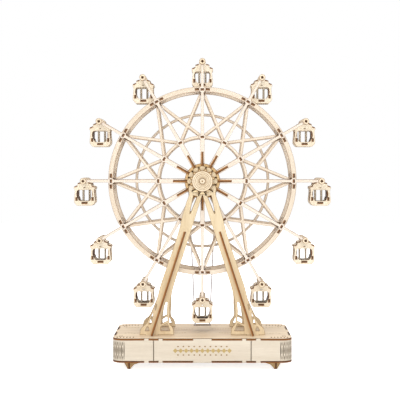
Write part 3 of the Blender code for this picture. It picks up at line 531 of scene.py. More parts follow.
SPOKE_FACE = ply_face("pale spoke face", (0.82, 0.735, 0.635), (0.72, 0.61, 0.49), 0.85)
PANEL_FACE = ply_face("warm panel face", (0.79, 0.69, 0.565), (0.67, 0.55, 0.41), 0.9)
FRAME_FACE = ply_face("honey frame face", (0.79, 0.66, 0.45), (0.59, 0.445, 0.26), 0.95, (0.25, 0.14, 0.05))
WALL_FACE = ply_face("pale wall face", (0.73, 0.65, 0.53), (0.61, 0.525, 0.41), 0.6, (0.20, 0.15, 0.085))
PLATE_FACE = ply_face("plate face", (0.91, 0.755, 0.53), (0.65, 0.485, 0.335))
CABIN_FACE = ply_face("cabin face", (0.86, 0.76, 0.60), (0.72, 0.60, 0.43), 0.9)
CAP_FACE = ply_face("cap face", (0.84, 0.73, 0.56), (0.70, 0.57, 0.39), 1.0)
# Hub discs: a darker face that is part smoke stain, part painted shade where each disc lies behind the
# frame's head
HUB_STAIN_AND_SHADE_FACE = ply_face("hub stain and shade face", (0.76, 0.53, 0.26), (0.56, 0.355, 0.155), 1.0, (0.20, 0.095, 0.03))
# Feet: darker brown face that paints the shade under the bottom plate
SHADED_FOOT_FACE = ply_face("foot face with painted shade", (0.60, 0.43, 0.22), (0.42, 0.27, 0.125), 1.0)
RIB_FACE = ply_face("rib face", (0.66, 0.47, 0.24), (0.46, 0.29, 0.13), 1.0, (0.36, 0.17, 0.05))
# Star: its dark halo colour is part smoke stain, part painted shadow in the gaps between the teeth
STAR_FACE = ply_face("star face", (0.88, 0.71, 0.43), (0.74, 0.56, 0.30), 1.0, (0.26, 0.125, 0.03))
BROWN_EDGE = cut_edge("browned edge", (0.46, 0.22, 0.085), (0.15, 0.062, 0.025))
ORANGE_EDGE = cut_edge("orange edge", (0.42, 0.19, 0.055), (0.11, 0.044, 0.015))
RIB_EDGE = cut_edge("rib edge", (0.42, 0.185, 0.055), (0.15, 0.058, 0.02))
PLATE_EDGE = cut_edge("plate edge", (0.36, 0.145, 0.042), (0.05, 0.02, 0.009))
SOOTY_EDGE = cut_edge("sooty edge", (0.17, 0.095, 0.05), (0.05, 0.028, 0.015))
RUST_EDGE = cut_edge("rust edge", (0.28, 0.10, 0.026), (0.05, 0.019, 0.008))
# Dark cut edges; the gondolas' floors also wear this material as painted shade
DARK_EDGE = cut_edge("charred edge and floor shade", (0.30, 0.14, 0.055), (0.045, 0.022, 0.012))
# Dark brown painted shade for the gondolas' side walls, as the inside of a gondola gets little light
SHADED_INSIDE_FACE = ply_face("painted shade inside", (0.34, 0.185, 0.09), (0.16, 0.085, 0.045), 1.0)
RUBBER = belt_rubber("grey belt rubber", (0.52, 0.50, 0.53), (0.68, 0.66, 0.69))
DOWEL = turned_wood("dowel", (0.62, 0.46, 0.27), (0.42, 0.28, 0.15))
MARK = burnt_mark("engraved line", (0.16, 0.085, 0.035), (0.42, 0.27, 0.13))
PALE_MARK = burnt_mark("light engraving", (0.38, 0.26, 0.085), (0.60, 0.45, 0.20))


# Sheet shapes

def area(ring):
    """Signed area of a ring, more than zero when it runs against the clock."""
    return sum(a[0] * b[1] - b[0] * a[1] for a, b in zip(ring, ring[1:] + ring[:1])) / 2


def drawn_in(ring, distance):
    """The ring moved to the left of its travel, with mitred corners."""
    moved = []
    for index, corner in enumerate(ring):
        here = Vector(corner)
        after = Vector(ring[(index + 1) % len(ring)])
        first = (here - Vector(ring[index - 1])).normalized()
        second = (after - here).normalized()
        side = Vector((-first.y, first.x))
        mitre = side + Vector((-second.y, second.x))
        mitre = mitre.normalized() if mitre.length > 0.1 else side
        moved.append(tuple(here + mitre * distance / max(0.6, mitre.dot(side))))
    return moved


class Sheets:
    """Cut sheets gathered in one mesh, with the data that their finish reads."""

    def __init__(self, toned=True):
        self.body = bmesh.new()
        self.map = self.body.loops.layers.uv.new("sheet")
        self.scorch = self.body.verts.layers.float.new("scorch")
        self.cut = self.body.faces.layers.int.new("cut")
        self.tone = self.body.verts.layers.float.new("tone") if toned else None

    def face(self, corners, spots, cut):
        face = self.body.faces.new(corners)
        for loop, spot in zip(face.loops, spots):
            loop[self.map].uv = spot
        face[self.cut] = cut
        return face

    def corner(self, place, spot, scorch, tone):
        vertex = self.body.verts.new(place @ Vector(spot))
        vertex[self.scorch] = scorch
        if self.tone is not None:
            vertex[self.tone] = tone
        return vertex

    def board(self, rings, near, far, place=UPRIGHT, halo=HALO, along=1, finish=0):
        """One sheet: its outline, then its holes; along is the grain's axis, finish the slot of its faces."""
        tone = chance.uniform(-0.5, 0.5)
        start = (chance.uniform(0, 0.3), chance.uniform(0, 0.3))
        rings = [ring if (area(ring) > 0) == (number == 0) else ring[::-1]
                 for number, ring in enumerate(rings)]
        inner = [drawn_in(ring, halo) for ring in rings]

        def spot(point):
            return (point[1 - along] + start[0], point[along] + start[1])

        filled = tessellate_polygon([[Vector((u, v, 0.0)) for u, v in ring] for ring in inner])
        flat = [point for ring in inner for point in ring]
        sides = []
        for level in (near, far):
            edge = [[self.corner(place, (u, v, level), 1.0, tone) for u, v in ring] for ring in rings]
            inside = [self.corner(place, (u, v, level), 0.0, tone) for u, v in flat]
            first = 0
            for ring, moved, outer in zip(rings, inner, edge):
                for here in range(len(ring)):
                    after = (here + 1) % len(ring)
                    self.face((outer[here], outer[after], inside[first + after], inside[first + here]),
                              (spot(ring[here]), spot(ring[after]), spot(moved[after]), spot(moved[here])),
                              finish)
                first += len(ring)
            for corners in filled:
                self.face([inside[c] for c in corners], [spot(flat[c]) for c in corners], finish)
            sides.append(edge)
        for ring, low, high in zip(rings, *sides):
            travel = start[0]
            for here in range(len(ring)):
                after = (here + 1) % len(ring)
                onward = travel + (Vector(ring[after]) - Vector(ring[here])).length
                self.face((low[here], low[after], high[after], high[here]),
                          ((travel, 0), (onward, 0), (onward, far - near), (travel, far - near)), 1)
                travel = onward

    def turned(self, profile, sides, place=FLAT):
        """A closed profile of (radius, along Y) turned about Y; a radius of zero is a pole."""
        tone = chance.uniform(-0.5, 0.5)
        rings = []
        for radius, along in profile:
            turns = [2 * math.pi * step / sides for step in range(sides)] if radius else [0.0]
            rings.append([self.corner(place, (radius * math.sin(a), along, radius * math.cos(a)), 0.0, tone)
                          for a in turns])
        for index, ring in enumerate(rings):
            after_ring = rings[(index + 1) % len(rings)]
            if len(ring) == 1 and len(after_ring) == 1:
                continue
            for step in range(sides):
                after = (step + 1) % sides
                loop = list(dict.fromkeys((ring[step % len(ring)], ring[after % len(ring)],
                                           after_ring[after % len(after_ring)],
                                           after_ring[step % len(after_ring)])))
                self.face(loop, [(v.co.x, v.co.z) for v in loop], 0).smooth = True

    def mesh(self, name):
        bmesh.ops.recalc_face_normals(self.body, faces=self.body.faces)
        made = bpy.data.meshes.new(name)
        self.body.to_mesh(made)
        self.body.free()
        return made

    def piece(self, name, face, edge, body, node, centre=None, slot="plywood"):
        """Finish the sheets as one piece, moved to a centre where one is given."""
        mesh = self.mesh(name)
        if centre is not None:
            mesh.transform(Matrix.Translation(centre))
        finished(name, mesh, face, edge, body, [node])


def finished(name, mesh, face, edge, body, nodes):
    """Put a mesh in the scene as a piece that rides on a body and stands for CAD nodes."""
    piece = linked(name, mesh)
    if not mesh.materials:
        mesh.materials.append(face)
        mesh.materials.append(edge)
        cuts = mesh.attributes["cut"].data
        for polygon in mesh.polygons:
            polygon.material_index = cuts[polygon.index].value
    if any(polygon.use_smooth for polygon in mesh.polygons):
        mesh.set_sharp_from_angle(angle=SHARP_ANGLE)
    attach(piece, body)
    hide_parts(*nodes)


def cut_piece(name, boards, face, edge, body, node, centre=None, **settings):
    """A piece of boards, each given as its rings and its two levels."""
    sheets = Sheets()
    for rings, near, far in boards:
        sheets.board(rings, near, far, **settings)
    sheets.piece(name, face, edge, body, node, centre)


def turned_piece(name, profiles, sides, wood, body, node, centre=None, place=FLAT):
    """A piece of closed profiles turned about Y, all of one finish."""
    sheets = Sheets()
    for profile in profiles:
        sheets.turned(profile, sides, place)
    sheets.piece(name, wood, wood, body, node, centre)


def make_copies_tree():
    """Copies of a piece on a circle about the wheel's axle, turned with it or kept level."""
    tree, take, end = new_group("Copies round the hub", "GeometryNodeTree", (
        ("Geometry", "Geometry"), ("Copies", "Int", 1), ("First turn", "Float", 0.0),
        ("Turn between", "Float", 0.0), ("Reach", "Float", 0.0), ("Kept level", "Bool", False),
        ("Centre", "Vector"), ("Seed", "Int", 0), ("Face", "Material"), ("Cut edge", "Material"),
        ("Inside", "Material")), (("Geometry", "Geometry"),))
    index = add(tree, "GeometryNodeInputIndex").outputs[0]
    turn = maths(tree, "MULTIPLY_ADD", index, take["Turn between"], take["First turn"])
    across = maths(tree, "MULTIPLY", maths(tree, "SINE", turn), take["Reach"])
    rise = maths(tree, "MULTIPLY", maths(tree, "COSINE", turn), take["Reach"])
    offset = add(tree, "ShaderNodeCombineXYZ", {0: across, 2: rise}).outputs[0]
    spot = add(tree, "ShaderNodeVectorMath", {0: offset, 1: take["Centre"]}, operation="ADD").outputs[0]
    points = add(tree, "GeometryNodePoints", {"Count": take["Copies"], "Position": spot}).outputs[0]
    lean = add(tree, "GeometryNodeSwitch", {0: take["Kept level"], 1: turn, 2: 0.0}, input_type="FLOAT")
    euler = add(tree, "ShaderNodeCombineXYZ", {1: lean.outputs[0]}).outputs[0]
    turned = add(tree, "FunctionNodeEulerToRotation", {0: euler}).outputs[0]
    copies = add(tree, "GeometryNodeInstanceOnPoints", {"Points": points, "Instance": take["Geometry"],
                                                        "Rotation": turned}).outputs[0]
    tone = add(tree, "FunctionNodeRandomValue", {2: -0.5, 3: 0.5, "Seed": take["Seed"]}, data_type="FLOAT")
    toned = add(tree, "GeometryNodeStoreNamedAttribute",
                {"Geometry": copies, "Name": "copy_tone", "Value": tone.outputs[1]},
                data_type="FLOAT", domain="INSTANCE").outputs[0]
    real = add(tree, "GeometryNodeRealizeInstances", {0: toned}).outputs[0]
    faced = add(tree, "GeometryNodeSetMaterial", {"Geometry": real, "Material": take["Face"]}).outputs[0]
    is_cut = add(tree, "GeometryNodeInputNamedAttribute", {"Name": "cut"}, data_type="INT").outputs[0]
    edged = add(tree, "GeometryNodeSetMaterial", {"Geometry": faced, "Selection": is_cut,
                                                  "Material": take["Cut edge"]}).outputs[0]
    # Faces marked two take the inside material, which paints the shade inside a gondola
    is_inside = maths(tree, "SUBTRACT", is_cut, 1.5)
    shaded_inside = add(tree, "GeometryNodeSetMaterial", {"Geometry": edged, "Selection": is_inside,
                                                   "Material": take["Inside"]}).outputs[0]
    feed(tree, end, {"Geometry": shaded_inside})
    return tree


def make_marks_tree():
    """Small engraved marks set along a path, each turned to follow it."""
    tree, take, end = new_group("Marks on a path", "GeometryNodeTree", (
        ("Geometry", "Geometry"), ("Spacing", "Float", 0.002), ("Length", "Float", 0.001),
        ("Width", "Float", 0.001), ("Height", "Float", 0.00003), ("Sides", "Int", 8),
        ("Finish", "Material")), (("Geometry", "Geometry"),))
    path = add(tree, "GeometryNodeMeshToCurve", {0: take["Geometry"]}).outputs[0]
    even = add(tree, "GeometryNodeResampleCurve", {"Curve": path, "Length": take["Spacing"]}, mode="LENGTH")
    mark = add(tree, "GeometryNodeMeshCylinder", {"Vertices": take["Sides"], "Radius": 0.5, "Depth": 1.0})
    tangent = add(tree, "GeometryNodeInputTangent").outputs[0]
    turned = add(tree, "FunctionNodeAlignRotationToVector", {"Vector": tangent}, axis="X", pivot_axis="Z")
    size = add(tree, "ShaderNodeCombineXYZ", {0: take["Length"], 1: take["Width"], 2: take["Height"]})
    marks = add(tree, "GeometryNodeInstanceOnPoints",
                {"Points": even.outputs[0], "Instance": mark.outputs[0], "Rotation": turned.outputs[0],
                 "Scale": size.outputs[0]}).outputs[0]
    real = add(tree, "GeometryNodeRealizeInstances", {0: marks}).outputs[0]
    done = add(tree, "GeometryNodeSetMaterial", {"Geometry": real, "Material": take["Finish"]}).outputs[0]
    feed(tree, end, {"Geometry": done})
    return tree


COPIES = make_copies_tree()
MARKS = make_marks_tree()


def grown(name, template, tree, values):
    """The mesh that a tree makes from a template."""
    holder = linked(name + "_template", template)
    modifier = holder.modifiers.new("copies", "NODES")
    modifier.node_group = tree
    sockets = {item.name: item.identifier for item in tree.interface.items_tree
               if item.item_type == "SOCKET" and item.in_out == "INPUT"}
    for title, value in values.items():
        modifier[sockets[title]] = value
    graph = bpy.context.evaluated_depsgraph_get()
    made = bpy.data.meshes.new_from_object(holder.evaluated_get(graph))
    holder.modifiers.remove(modifier)
    bpy.data.objects.remove(holder, do_unlink=True)
    bpy.data.meshes.remove(template)
    made.name = name
    return made


def round_the_wheel(name, boards, face, edge, nodes, first_turn=0.0, **settings):
    """Twelve copies of a template's boards round the hub, riding on the wheel."""
    template = Sheets(toned=False)
    for board in boards:
        template.board(*board, **settings)
    mesh = grown(name, template.mesh(name), COPIES, {
        "Copies": SECTORS, "First turn": first_turn, "Turn between": SECTOR, "Centre": HUB, "Seed": len(name),
        "Face": face, "Cut edge": edge, "Inside": SHADED_INSIDE_FACE})
    finished(name, mesh, face, edge, "wheel", nodes)


def marks_along(name, points, place, spacing, size, sides, node, finish=MARK, closed=False):
    """Engraved marks along a line of (across, along) points on a surface."""
    corners = [(u, v, 0.0) for u, v in points]
    edges = [(step, step + 1) for step in range(len(corners) - 1)]
    if closed:
        edges.append((len(corners) - 1, 0))
    path = bpy.data.meshes.new(name + "_path")
    path.from_pydata(corners, edges, [])
    mesh = grown(name, path, MARKS, {"Spacing": spacing, "Length": size[0], "Width": size[1],
                                     "Height": MARK_HEIGHT, "Sides": sides, "Finish": finish})
    mesh.transform(place)
    if place.determinant() < 0:
        mesh.flip_normals()
    finished(name, mesh, finish, finish, "root", [node])


def polar(radius, angle):
    """A point at a radius and at an angle from the top, turning to the right."""
    return (radius * math.sin(angle), radius * math.cos(angle))


def arc(radius, first, last, steps, centre=(0.0, 0.0)):
    """Points on an arc between two angles from the top."""
    turns = [first + (last - first) * step / steps for step in range(steps + 1)]
    return [(centre[0] + radius * math.sin(a), centre[1] + radius * math.cos(a)) for a in turns]


def circle(radius, steps=48, centre=(0.0, 0.0)):
    return arc(radius, 0.0, 2 * math.pi * (steps - 1) / steps, steps - 1, centre)


def box_ring(width, height, centre=(0.0, 0.0)):
    u, v = centre
    return [(u - width / 2, v - height / 2), (u + width / 2, v - height / 2),
            (u + width / 2, v + height / 2), (u - width / 2, v + height / 2)]


def mirrored(points):
    return [(-u, v) for u, v in reversed(points)]


def smoothed(points, steps=4):
    """A smooth line through the points, which stay on it."""
    line = []
    for index in range(len(points) - 1):
        p0, p1, p2, p3 = (Vector(points[max(0, min(len(points) - 1, index + k))]) for k in (-1, 0, 1, 2))
        for step in range(steps):
            t = step / steps
            spot = (2 * p1 + (p2 - p0) * t + (2 * p0 - 5 * p1 + 4 * p2 - p3) * t ** 2
                    + (3 * p1 - p0 - 3 * p2 + p3) * t ** 3) / 2
            line.append(tuple(spot))
    line.append(tuple(points[-1]))
    return line


def rounded(ring, radius, steps=3):
    """A ring with its corners rounded off."""
    points = []
    for index, corner in enumerate(ring):
        here = Vector(corner)
        before = Vector(ring[index - 1]) - here
        after = Vector(ring[(index + 1) % len(ring)]) - here
        reach = min(radius, before.length * 0.45, after.length * 0.45)
        start = here + before.normalized() * reach
        end = here + after.normalized() * reach
        for step in range(steps + 1):
            t = step / steps
            points.append(tuple(start * (1 - t) ** 2 + here * 2 * t * (1 - t) + end * t ** 2))
    return points


def both_sides(low, high):
    return (("front", -high, -low), ("rear", low, high))


def nodes_named(stem):
    return [f"{stem}_{number:02d}" for number in range(1, SECTORS + 1)]


# Wheel

LADDERS = nodes_named("spoke_ladder")
PANELS = nodes_named("wheel_sector")
BOSS_STEPS = 8
TIP_STEPS = 12


def boss(radius, centre, width_below, width_above):
    """Right-hand side of a round boss on a strip of the given half widths."""
    first = math.pi - math.asin(width_below / radius)
    last = math.asin(width_above / radius)
    return arc(radius, first, last, BOSS_STEPS, (0.0, centre))


def turned_by(points, turn):
    """Points about the hub, turned to the right."""
    return [(u * math.cos(turn) + v * math.sin(turn), v * math.cos(turn) - u * math.sin(turn))
            for u, v in points]


def spoke_rings():
    """Spoke with a fork over its fin, two bosses with slots and the pin's hole."""
    root = SPOKE_ROOT_WIDTH / 2
    middle = SPOKE_MIDDLE_WIDTH / 2
    tip = SPOKE_TIP_WIDTH / 2
    fork = PLY / 2 + SLOT_GAP
    fork_top = FIN_OUTER_RADIUS + SLOT_GAP
    right = [(fork, SPOKE_ROOT_RADIUS), (root, SPOKE_ROOT_RADIUS)]
    right += boss(INNER_BOSS_WIDTH / 2, INNER_RING_RADIUS, root, middle)
    right += boss(OUTER_BOSS_WIDTH / 2, RIM_NODE_RADIUS, tip, tip)
    right += arc(WASHER_RADIUS, math.pi - math.asin(tip / WASHER_RADIUS), 0.0, TIP_STEPS, (0.0, PIVOT_RADIUS))
    outline = right + mirrored(right[:-1]) + [(-fork, fork_top), (fork, fork_top)]
    slot = (SLOT_WIDTH + 2 * SLOT_GAP, PLY + 2 * SLOT_GAP)
    holes = [box_ring(*slot, (0.0, radius)) for radius in (INNER_RING_RADIUS, RIM_NODE_RADIUS)]
    return [outline] + holes + [pin_hole()]


def pin_hole():
    """Square hole that stands on its corner."""
    return circle(PIN_SIZE / math.sqrt(2) + SLOT_GAP, PIN_SIDES, (0.0, PIVOT_RADIUS))


def panel_rings():
    """Wheel panel: rim arc and inner arc joined by two crossed braces, with slots for the rim ties."""
    half = SECTOR / 2
    margin = SLOT_WIDTH / 2 + FIT
    across = RIM_NODE_RADIUS * math.sin(half)
    rise = (RIM_NODE_RADIUS - INNER_RING_RADIUS) * math.cos(half)
    slope = (across + INNER_RING_RADIUS * math.sin(half)) / rise
    middle = RIM_NODE_RADIUS * math.cos(half) - across / slope
    width = BRACE_WIDTH / 2 * math.sqrt(1 + slope ** 2)
    lean = math.tan(half)
    inset = margin / math.cos(half)
    low_corner = (inset + width + slope * middle) / (slope + lean)
    upper = (-inset - width + slope * middle) / (slope - lean)

    def side_angle(radius):
        return half - math.asin(margin / radius)

    outer = RIM_RADIUS + RIM_WIDTH / 2
    inner = RIM_RADIUS - RIM_WIDTH / 2
    ring_out = INNER_RING_RADIUS + RING_WIDTH / 2
    ring_in = INNER_RING_RADIUS - RING_WIDTH / 2
    right = arc(outer, 0.0, side_angle(outer), PANEL_RIM_STEPS)
    right += [(upper * lean - inset, upper), (width, middle), (low_corner * lean - inset, low_corner)]
    right += arc(ring_in, side_angle(ring_in), 0.0, PANEL_RING_STEPS)
    outline = right + mirrored(right[1:-1])

    top_angle = brace_meets(inner, slope, slope * middle + width)
    top_hole = arc(inner, -top_angle, top_angle, TOP_HOLE_STEPS) + [(0.0, middle + width / slope)]
    low_angle = brace_meets(ring_out, slope, slope * middle - width)
    low_hole = arc(ring_out, -low_angle, low_angle, LOW_HOLE_STEPS) + [(0.0, middle - width / slope)]
    holes = [rounded(ring, PANEL_CORNER_RADIUS, 2) for ring in (top_hole, low_hole)]
    slot = box_ring(SLOT_WIDTH + 2 * SLOT_GAP, PLY + 2 * SLOT_GAP, (0.0, RIM_RADIUS))
    holes += [turned_by(slot, side * (half - TIE_OFFSET / RIM_RADIUS)) for side in (-1, 1)]
    return [outline] + holes


def brace_meets(radius, slope, level):
    """Angle where a brace's edge, slope times the height less the level, meets an arc."""
    spread = 1 + slope ** 2
    height = (slope * level + math.sqrt((slope * level) ** 2 - spread * (level ** 2 - radius ** 2))) / spread
    return math.acos(min(1.0, height / radius))


def make_wheel():
    """Spokes, panels, fins, rungs, ties, pins and washers, each made once and copied round the hub."""
    for side, near, far in both_sides(SPOKE_IN, SPOKE_OUT):
        round_the_wheel(side + "_spokes", [(spoke_rings(), near, far)], SPOKE_FACE, BROWN_EDGE, LADDERS,
                        halo=SPOKE_HALO)
    for side, near, far in both_sides(RIM_IN, RIM_OUT):
        round_the_wheel(side + "_panels", [(panel_rings(), near, far)], PANEL_FACE, BROWN_EDGE, PANELS,
                        SECTOR / 2, halo=PANEL_HALO, along=0)

    notch = HUB_DISC_RADIUS - HUB_NOTCH_DEPTH + FIT
    upper = [(RIM_OUT, FIN_INNER_RADIUS), (RIM_OUT, notch), (COLLAR_OUT, notch),
             (COLLAR_OUT, HUB_DISC_RADIUS), (SPOKE_OUT - PLY / 4, FIN_OUTER_RADIUS)]
    fin = ([upper + mirrored(upper)], -FIN_THICKNESS / 2, FIN_THICKNESS / 2, SIDEWAYS)
    round_the_wheel("hub_fins", [fin], PANEL_FACE, ORANGE_EDGE, LADDERS, along=0)

    rung = [box_ring(SLOT_WIDTH, 2 * (SPOKE_OUT - SLOT_GAP))]
    rungs = [(rung, radius - PLY / 2, radius + PLY / 2, FLAT)
             for radius in (INNER_RING_RADIUS, RIM_NODE_RADIUS)]
    round_the_wheel("wheel_rungs", rungs, PANEL_FACE, DARK_EDGE, LADDERS)

    tab = SLOT_WIDTH / 2
    shoulder = TIE_WIDTH / 2
    end = RIM_OUT - SLOT_GAP
    tie = [(tab, -end), (tab, -RIM_IN), (shoulder, -RIM_IN), (shoulder, RIM_IN), (tab, RIM_IN), (tab, end)]
    turn = SECTOR / 2 - TIE_OFFSET / RIM_RADIUS
    ties = [([tie + mirrored(tie)], RIM_RADIUS - PLY / 2, RIM_RADIUS + PLY / 2,
             Matrix.Rotation(side * turn, 4, "Y")) for side in (-1, 1)]
    round_the_wheel("rim_ties", ties, PANEL_FACE, DARK_EDGE, PANELS, SECTOR / 2)

    pin = circle(PIN_SIZE / math.sqrt(2), PIN_SIDES, (0.0, PIVOT_RADIUS))
    pins = [([pin], SLOT_GAP - COLLAR_OUT, COLLAR_OUT - SLOT_GAP)]
    round_the_wheel("pivot_pins", pins, DARK_EDGE, BROWN_EDGE, LADDERS)

    washer = [circle(WASHER_RADIUS, WASHER_SIDES, (0.0, PIVOT_RADIUS)), pin_hole()]
    washers = [(washer, near, far) for _, near, far in both_sides(SPOKE_OUT, COLLAR_OUT)]
    round_the_wheel("pivot_washers", washers, CAP_FACE, BROWN_EDGE, LADDERS)


def notched_disc():
    """Hub disc with a notch for each fin."""
    half_notch = PLY / 2 + SLOT_GAP
    deep = HUB_DISC_RADIUS - HUB_NOTCH_DEPTH
    reach = math.asin(half_notch / HUB_DISC_RADIUS)
    points = []
    for sector in range(SECTORS):
        angle = sector * SECTOR
        points += turned_by([(-half_notch, deep), (half_notch, deep)], angle)
        points += arc(HUB_DISC_RADIUS, angle + reach, angle + SECTOR - reach, NOTCH_ARC_STEPS)
    return points


def star_outline():
    """Twelve teeth with round valleys over the spokes."""
    points = []
    for sector in range(SECTORS):
        angle = sector * SECTOR
        for share, rise in STAR_TOOTH_SHARES:
            radius = STAR_VALLEY_RADIUS + (STAR_TIP_RADIUS - STAR_VALLEY_RADIUS) * rise
            points.append(polar(radius, angle + share * SECTOR))
    return points


def make_hub():
    """Hub discs, third ring, star, axle with its engraved cap, and the belt's pulley."""
    hole = circle(AXLE_RADIUS + SLOT_GAP, AXLE_SIDES)
    half = RING_WIDTH / 2
    third = [circle(MIDDLE_RING_RADIUS + half, RING_SIDES), circle(MIDDLE_RING_RADIUS - half, RING_SIDES)]
    cap = [circle(CAP_RADIUS, DISC_SIDES), circle(AXLE_RADIUS + FIT, AXLE_SIDES)]
    for side, near, far in both_sides(COLLAR_IN, COLLAR_OUT):
        # The hub discs take the darker face, part smoke stain and part painted shade
        cut_piece(side + "_notched_disc", [([notched_disc(), hole], near, far)], HUB_STAIN_AND_SHADE_FACE, BROWN_EDGE,
                  "wheel", side + "_hub_disc", HUB, halo=HUB_HALO)
    cut_piece("third_ring", [(third, RIM_IN - FIT - PLY, RIM_IN - FIT)], PANEL_FACE, BROWN_EDGE, "wheel",
              "rear_middle_ring", HUB)
    # The star's wide dark halo is part smoke stain, part painted shadow between its teeth
    cut_piece("star_plate", [([star_outline(), hole], -STAR_OUT, -STAR_IN)], STAR_FACE, DARK_EDGE, "wheel",
              "axle_star", HUB, halo=STAR_HALO)
    cut_piece("axle_cap", [(cap, -CAP_OUT, -CAP_IN)], CAP_FACE, BROWN_EDGE, "wheel", "axle", HUB,
              halo=HUB_HALO)

    front = BELT_PLANE - GROOVE_WIDTH / 2
    back = BELT_PLANE + GROOVE_WIDTH / 2 + PLY
    rod = [(0, -CAP_IN), (AXLE_RADIUS, -CAP_IN), (AXLE_RADIUS, back - FIT), (AXLE_RADIUS - FIT, back),
           (0, back)]
    turned_piece("axle_rod", [rod], TURNED_SIDES, DOWEL, "wheel", "axle", HUB)
    tip = [(0, SKIN - CAP_OUT), (AXLE_RADIUS - FIT, SKIN - CAP_OUT), (AXLE_RADIUS, FIT - CAP_OUT),
           (AXLE_RADIUS, -CAP_IN), (0, -CAP_IN)]
    turned_piece("axle_end", [tip], TURNED_SIDES, CAP_FACE, "wheel", "axle", HUB)

    flange = WHEEL_GROOVE_RADIUS + FLANGE_DEPTH
    layers = ((SLEEVE_RADIUS, STAR_IN, front - PLY), (flange, front - PLY, front),
              (WHEEL_GROOVE_RADIUS, front, front + GROOVE_WIDTH), (flange, front + GROOVE_WIDTH, back))
    discs = [([circle(radius, DISC_SIDES), hole], near, far) for radius, near, far in layers]
    cut_piece("stacked_pulley", discs, FRAME_FACE, BROWN_EDGE, "wheel", "wheel_pulley", HUB)

    proud = -CAP_OUT - MARK_HEIGHT / 2
    rings = [[(radius, -CAP_OUT), (radius, proud), (radius + width, proud), (radius + width, -CAP_OUT)]
             for radius, width in CAP_RINGS]
    turned_piece("cap_rings", rings, DISC_SIDES, MARK, "wheel", "axle", HUB)
    dot_top = -CAP_OUT - DOT_HEIGHT
    dot = [(0, dot_top), (DOT_TOP_RADIUS, dot_top), (DOT_RADIUS, -CAP_OUT), (0, -CAP_OUT)]
    turned_piece("cap_centre_dot", [dot], DOT_SIDES, MARK, "wheel", "axle", HUB)


# Gondolas

def cabin_points(shares):
    return [(u * CABIN_HALF, -v * CABIN_DROP) for u, v in shares]


def cabin_ring():
    """Ear round the pin, two roof steps, bowed side and rounded foot."""
    ear = arc(EAR_RADIUS, 0.0, math.pi * EAR_TURN_SHARE, EAR_STEPS)
    side = smoothed(cabin_points(CABIN_SIDE_SHARES), CABIN_CURVE_STEPS)
    right = ear + cabin_points(EAVE_SHARES) + side
    return right + mirrored(right[1:])


def make_cabin_template():
    """One gondola about its own pin: two end sheets, floor, side walls and four roof slats."""
    sheets = Sheets()
    hole = circle(PIN_SIZE / math.sqrt(2) + FIT, PIVOT_HOLE_SIDES)
    edge = smoothed(cabin_points(WINDOW_SHARES), CABIN_CURVE_STEPS)
    top, sill = edge[0][1], edge[-1][1]
    half = CABIN_DEPTH / 2
    gap = 2 * SLOT_GAP
    wall_slot = box_ring(PLY + gap, CABIN_WALL_TAB + gap, (CABIN_WALL_PLACE, -CABIN_WALL_TAB_DROP))
    floor_slot = box_ring(CABIN_FLOOR_TAB + gap, PLY + gap, (0.0, -CABIN_FLOOR_DROP))
    crest_slot = box_ring(*CREST_SLOT, (0.0, -CREST_DROP))
    tabs = [wall_slot, [(-u, v) for u, v in wall_slot], floor_slot, crest_slot]
    sheets.board([cabin_ring(), hole, edge + mirrored(edge)] + tabs, -half, -half + PLY,
                 halo=CABIN_FRONT_HALO)
    bar_out = (CABIN_BAR_SPAN + CABIN_BAR_WIDTH) / 2
    bar_in = (CABIN_BAR_SPAN - CABIN_BAR_WIDTH) / 2
    side_light = [(bar_out, top)] + edge + [(bar_out, sill)]
    middle_light = [(-bar_in, top), (bar_in, top), (bar_in, sill), (-bar_in, sill)]
    sheets.board([cabin_ring(), hole, side_light, mirrored(side_light), middle_light] + tabs,
                 half - PLY, half, halo=CABIN_REAR_HALO)
    inner = half - PLY - SLOT_GAP / 2
    end = half - SLOT_GAP
    tab = CABIN_FLOOR_TAB / 2
    floor = [(tab, -end), (tab, -inner), (CABIN_FLOOR_HALF, -inner)]
    floor += [(u, -v) for u, v in reversed(floor)]
    level = -CABIN_FLOOR_DROP
    # The floor's faces take finish one, the dark cut-edge material, as painted shade inside the gondola
    sheets.board([floor + mirrored(floor)], level - PLY / 2, level + PLY / 2, FLAT, finish=1)
    tab_top = CABIN_WALL_TAB / 2 - CABIN_WALL_TAB_DROP
    tab_foot = tab_top - CABIN_WALL_TAB
    wall = [(inner, -CABIN_WALL_FOOT_DROP), (inner, tab_foot), (end, tab_foot), (end, tab_top),
            (inner, tab_top), (inner, -CABIN_WALL_TOP_DROP)]
    for side in (-1, 1):
        x = side * CABIN_WALL_PLACE
        # The side walls' faces take finish two, the inside material with its painted shade
        sheets.board([wall + mirrored(wall)], x - PLY / 2, x + PLY / 2, SIDEWAYS, finish=2)
        for across, drop, width, lean, past in CABIN_SLATS:
            place = Matrix.Translation((side * across, 0, -drop)) @ Matrix.Rotation(side * lean, 4, "Y")
            slat = box_ring(width, CABIN_DEPTH + 2 * past)
            sheets.board([slat], -CABIN_SLAT_THICKNESS / 2, CABIN_SLAT_THICKNESS / 2, place)
    return sheets.mesh("cabin_template")


def make_cabins():
    """Twelve gondolas, kept level, one on each car."""
    template = make_cabin_template()
    for sector in range(SECTORS):
        number = f"{sector + 1:02d}"
        mesh = grown("cabin_" + number, template.copy(), COPIES, {
            "Copies": 1, "First turn": sector * SECTOR, "Reach": PIVOT_RADIUS, "Kept level": True,
            "Centre": HUB, "Seed": sector + 1, "Face": CABIN_FACE, "Cut edge": DARK_EDGE,
            "Inside": SHADED_INSIDE_FACE})
        finished("cabin_" + number, mesh, CABIN_FACE, DARK_EDGE, "car_" + number, ["gondola_" + number])
    bpy.data.meshes.remove(template)


# A-frames

def leg_points(shares):
    return [(u * LEG_SPREAD, -v * (LEG_DROP - FIT)) for u, v in shares]


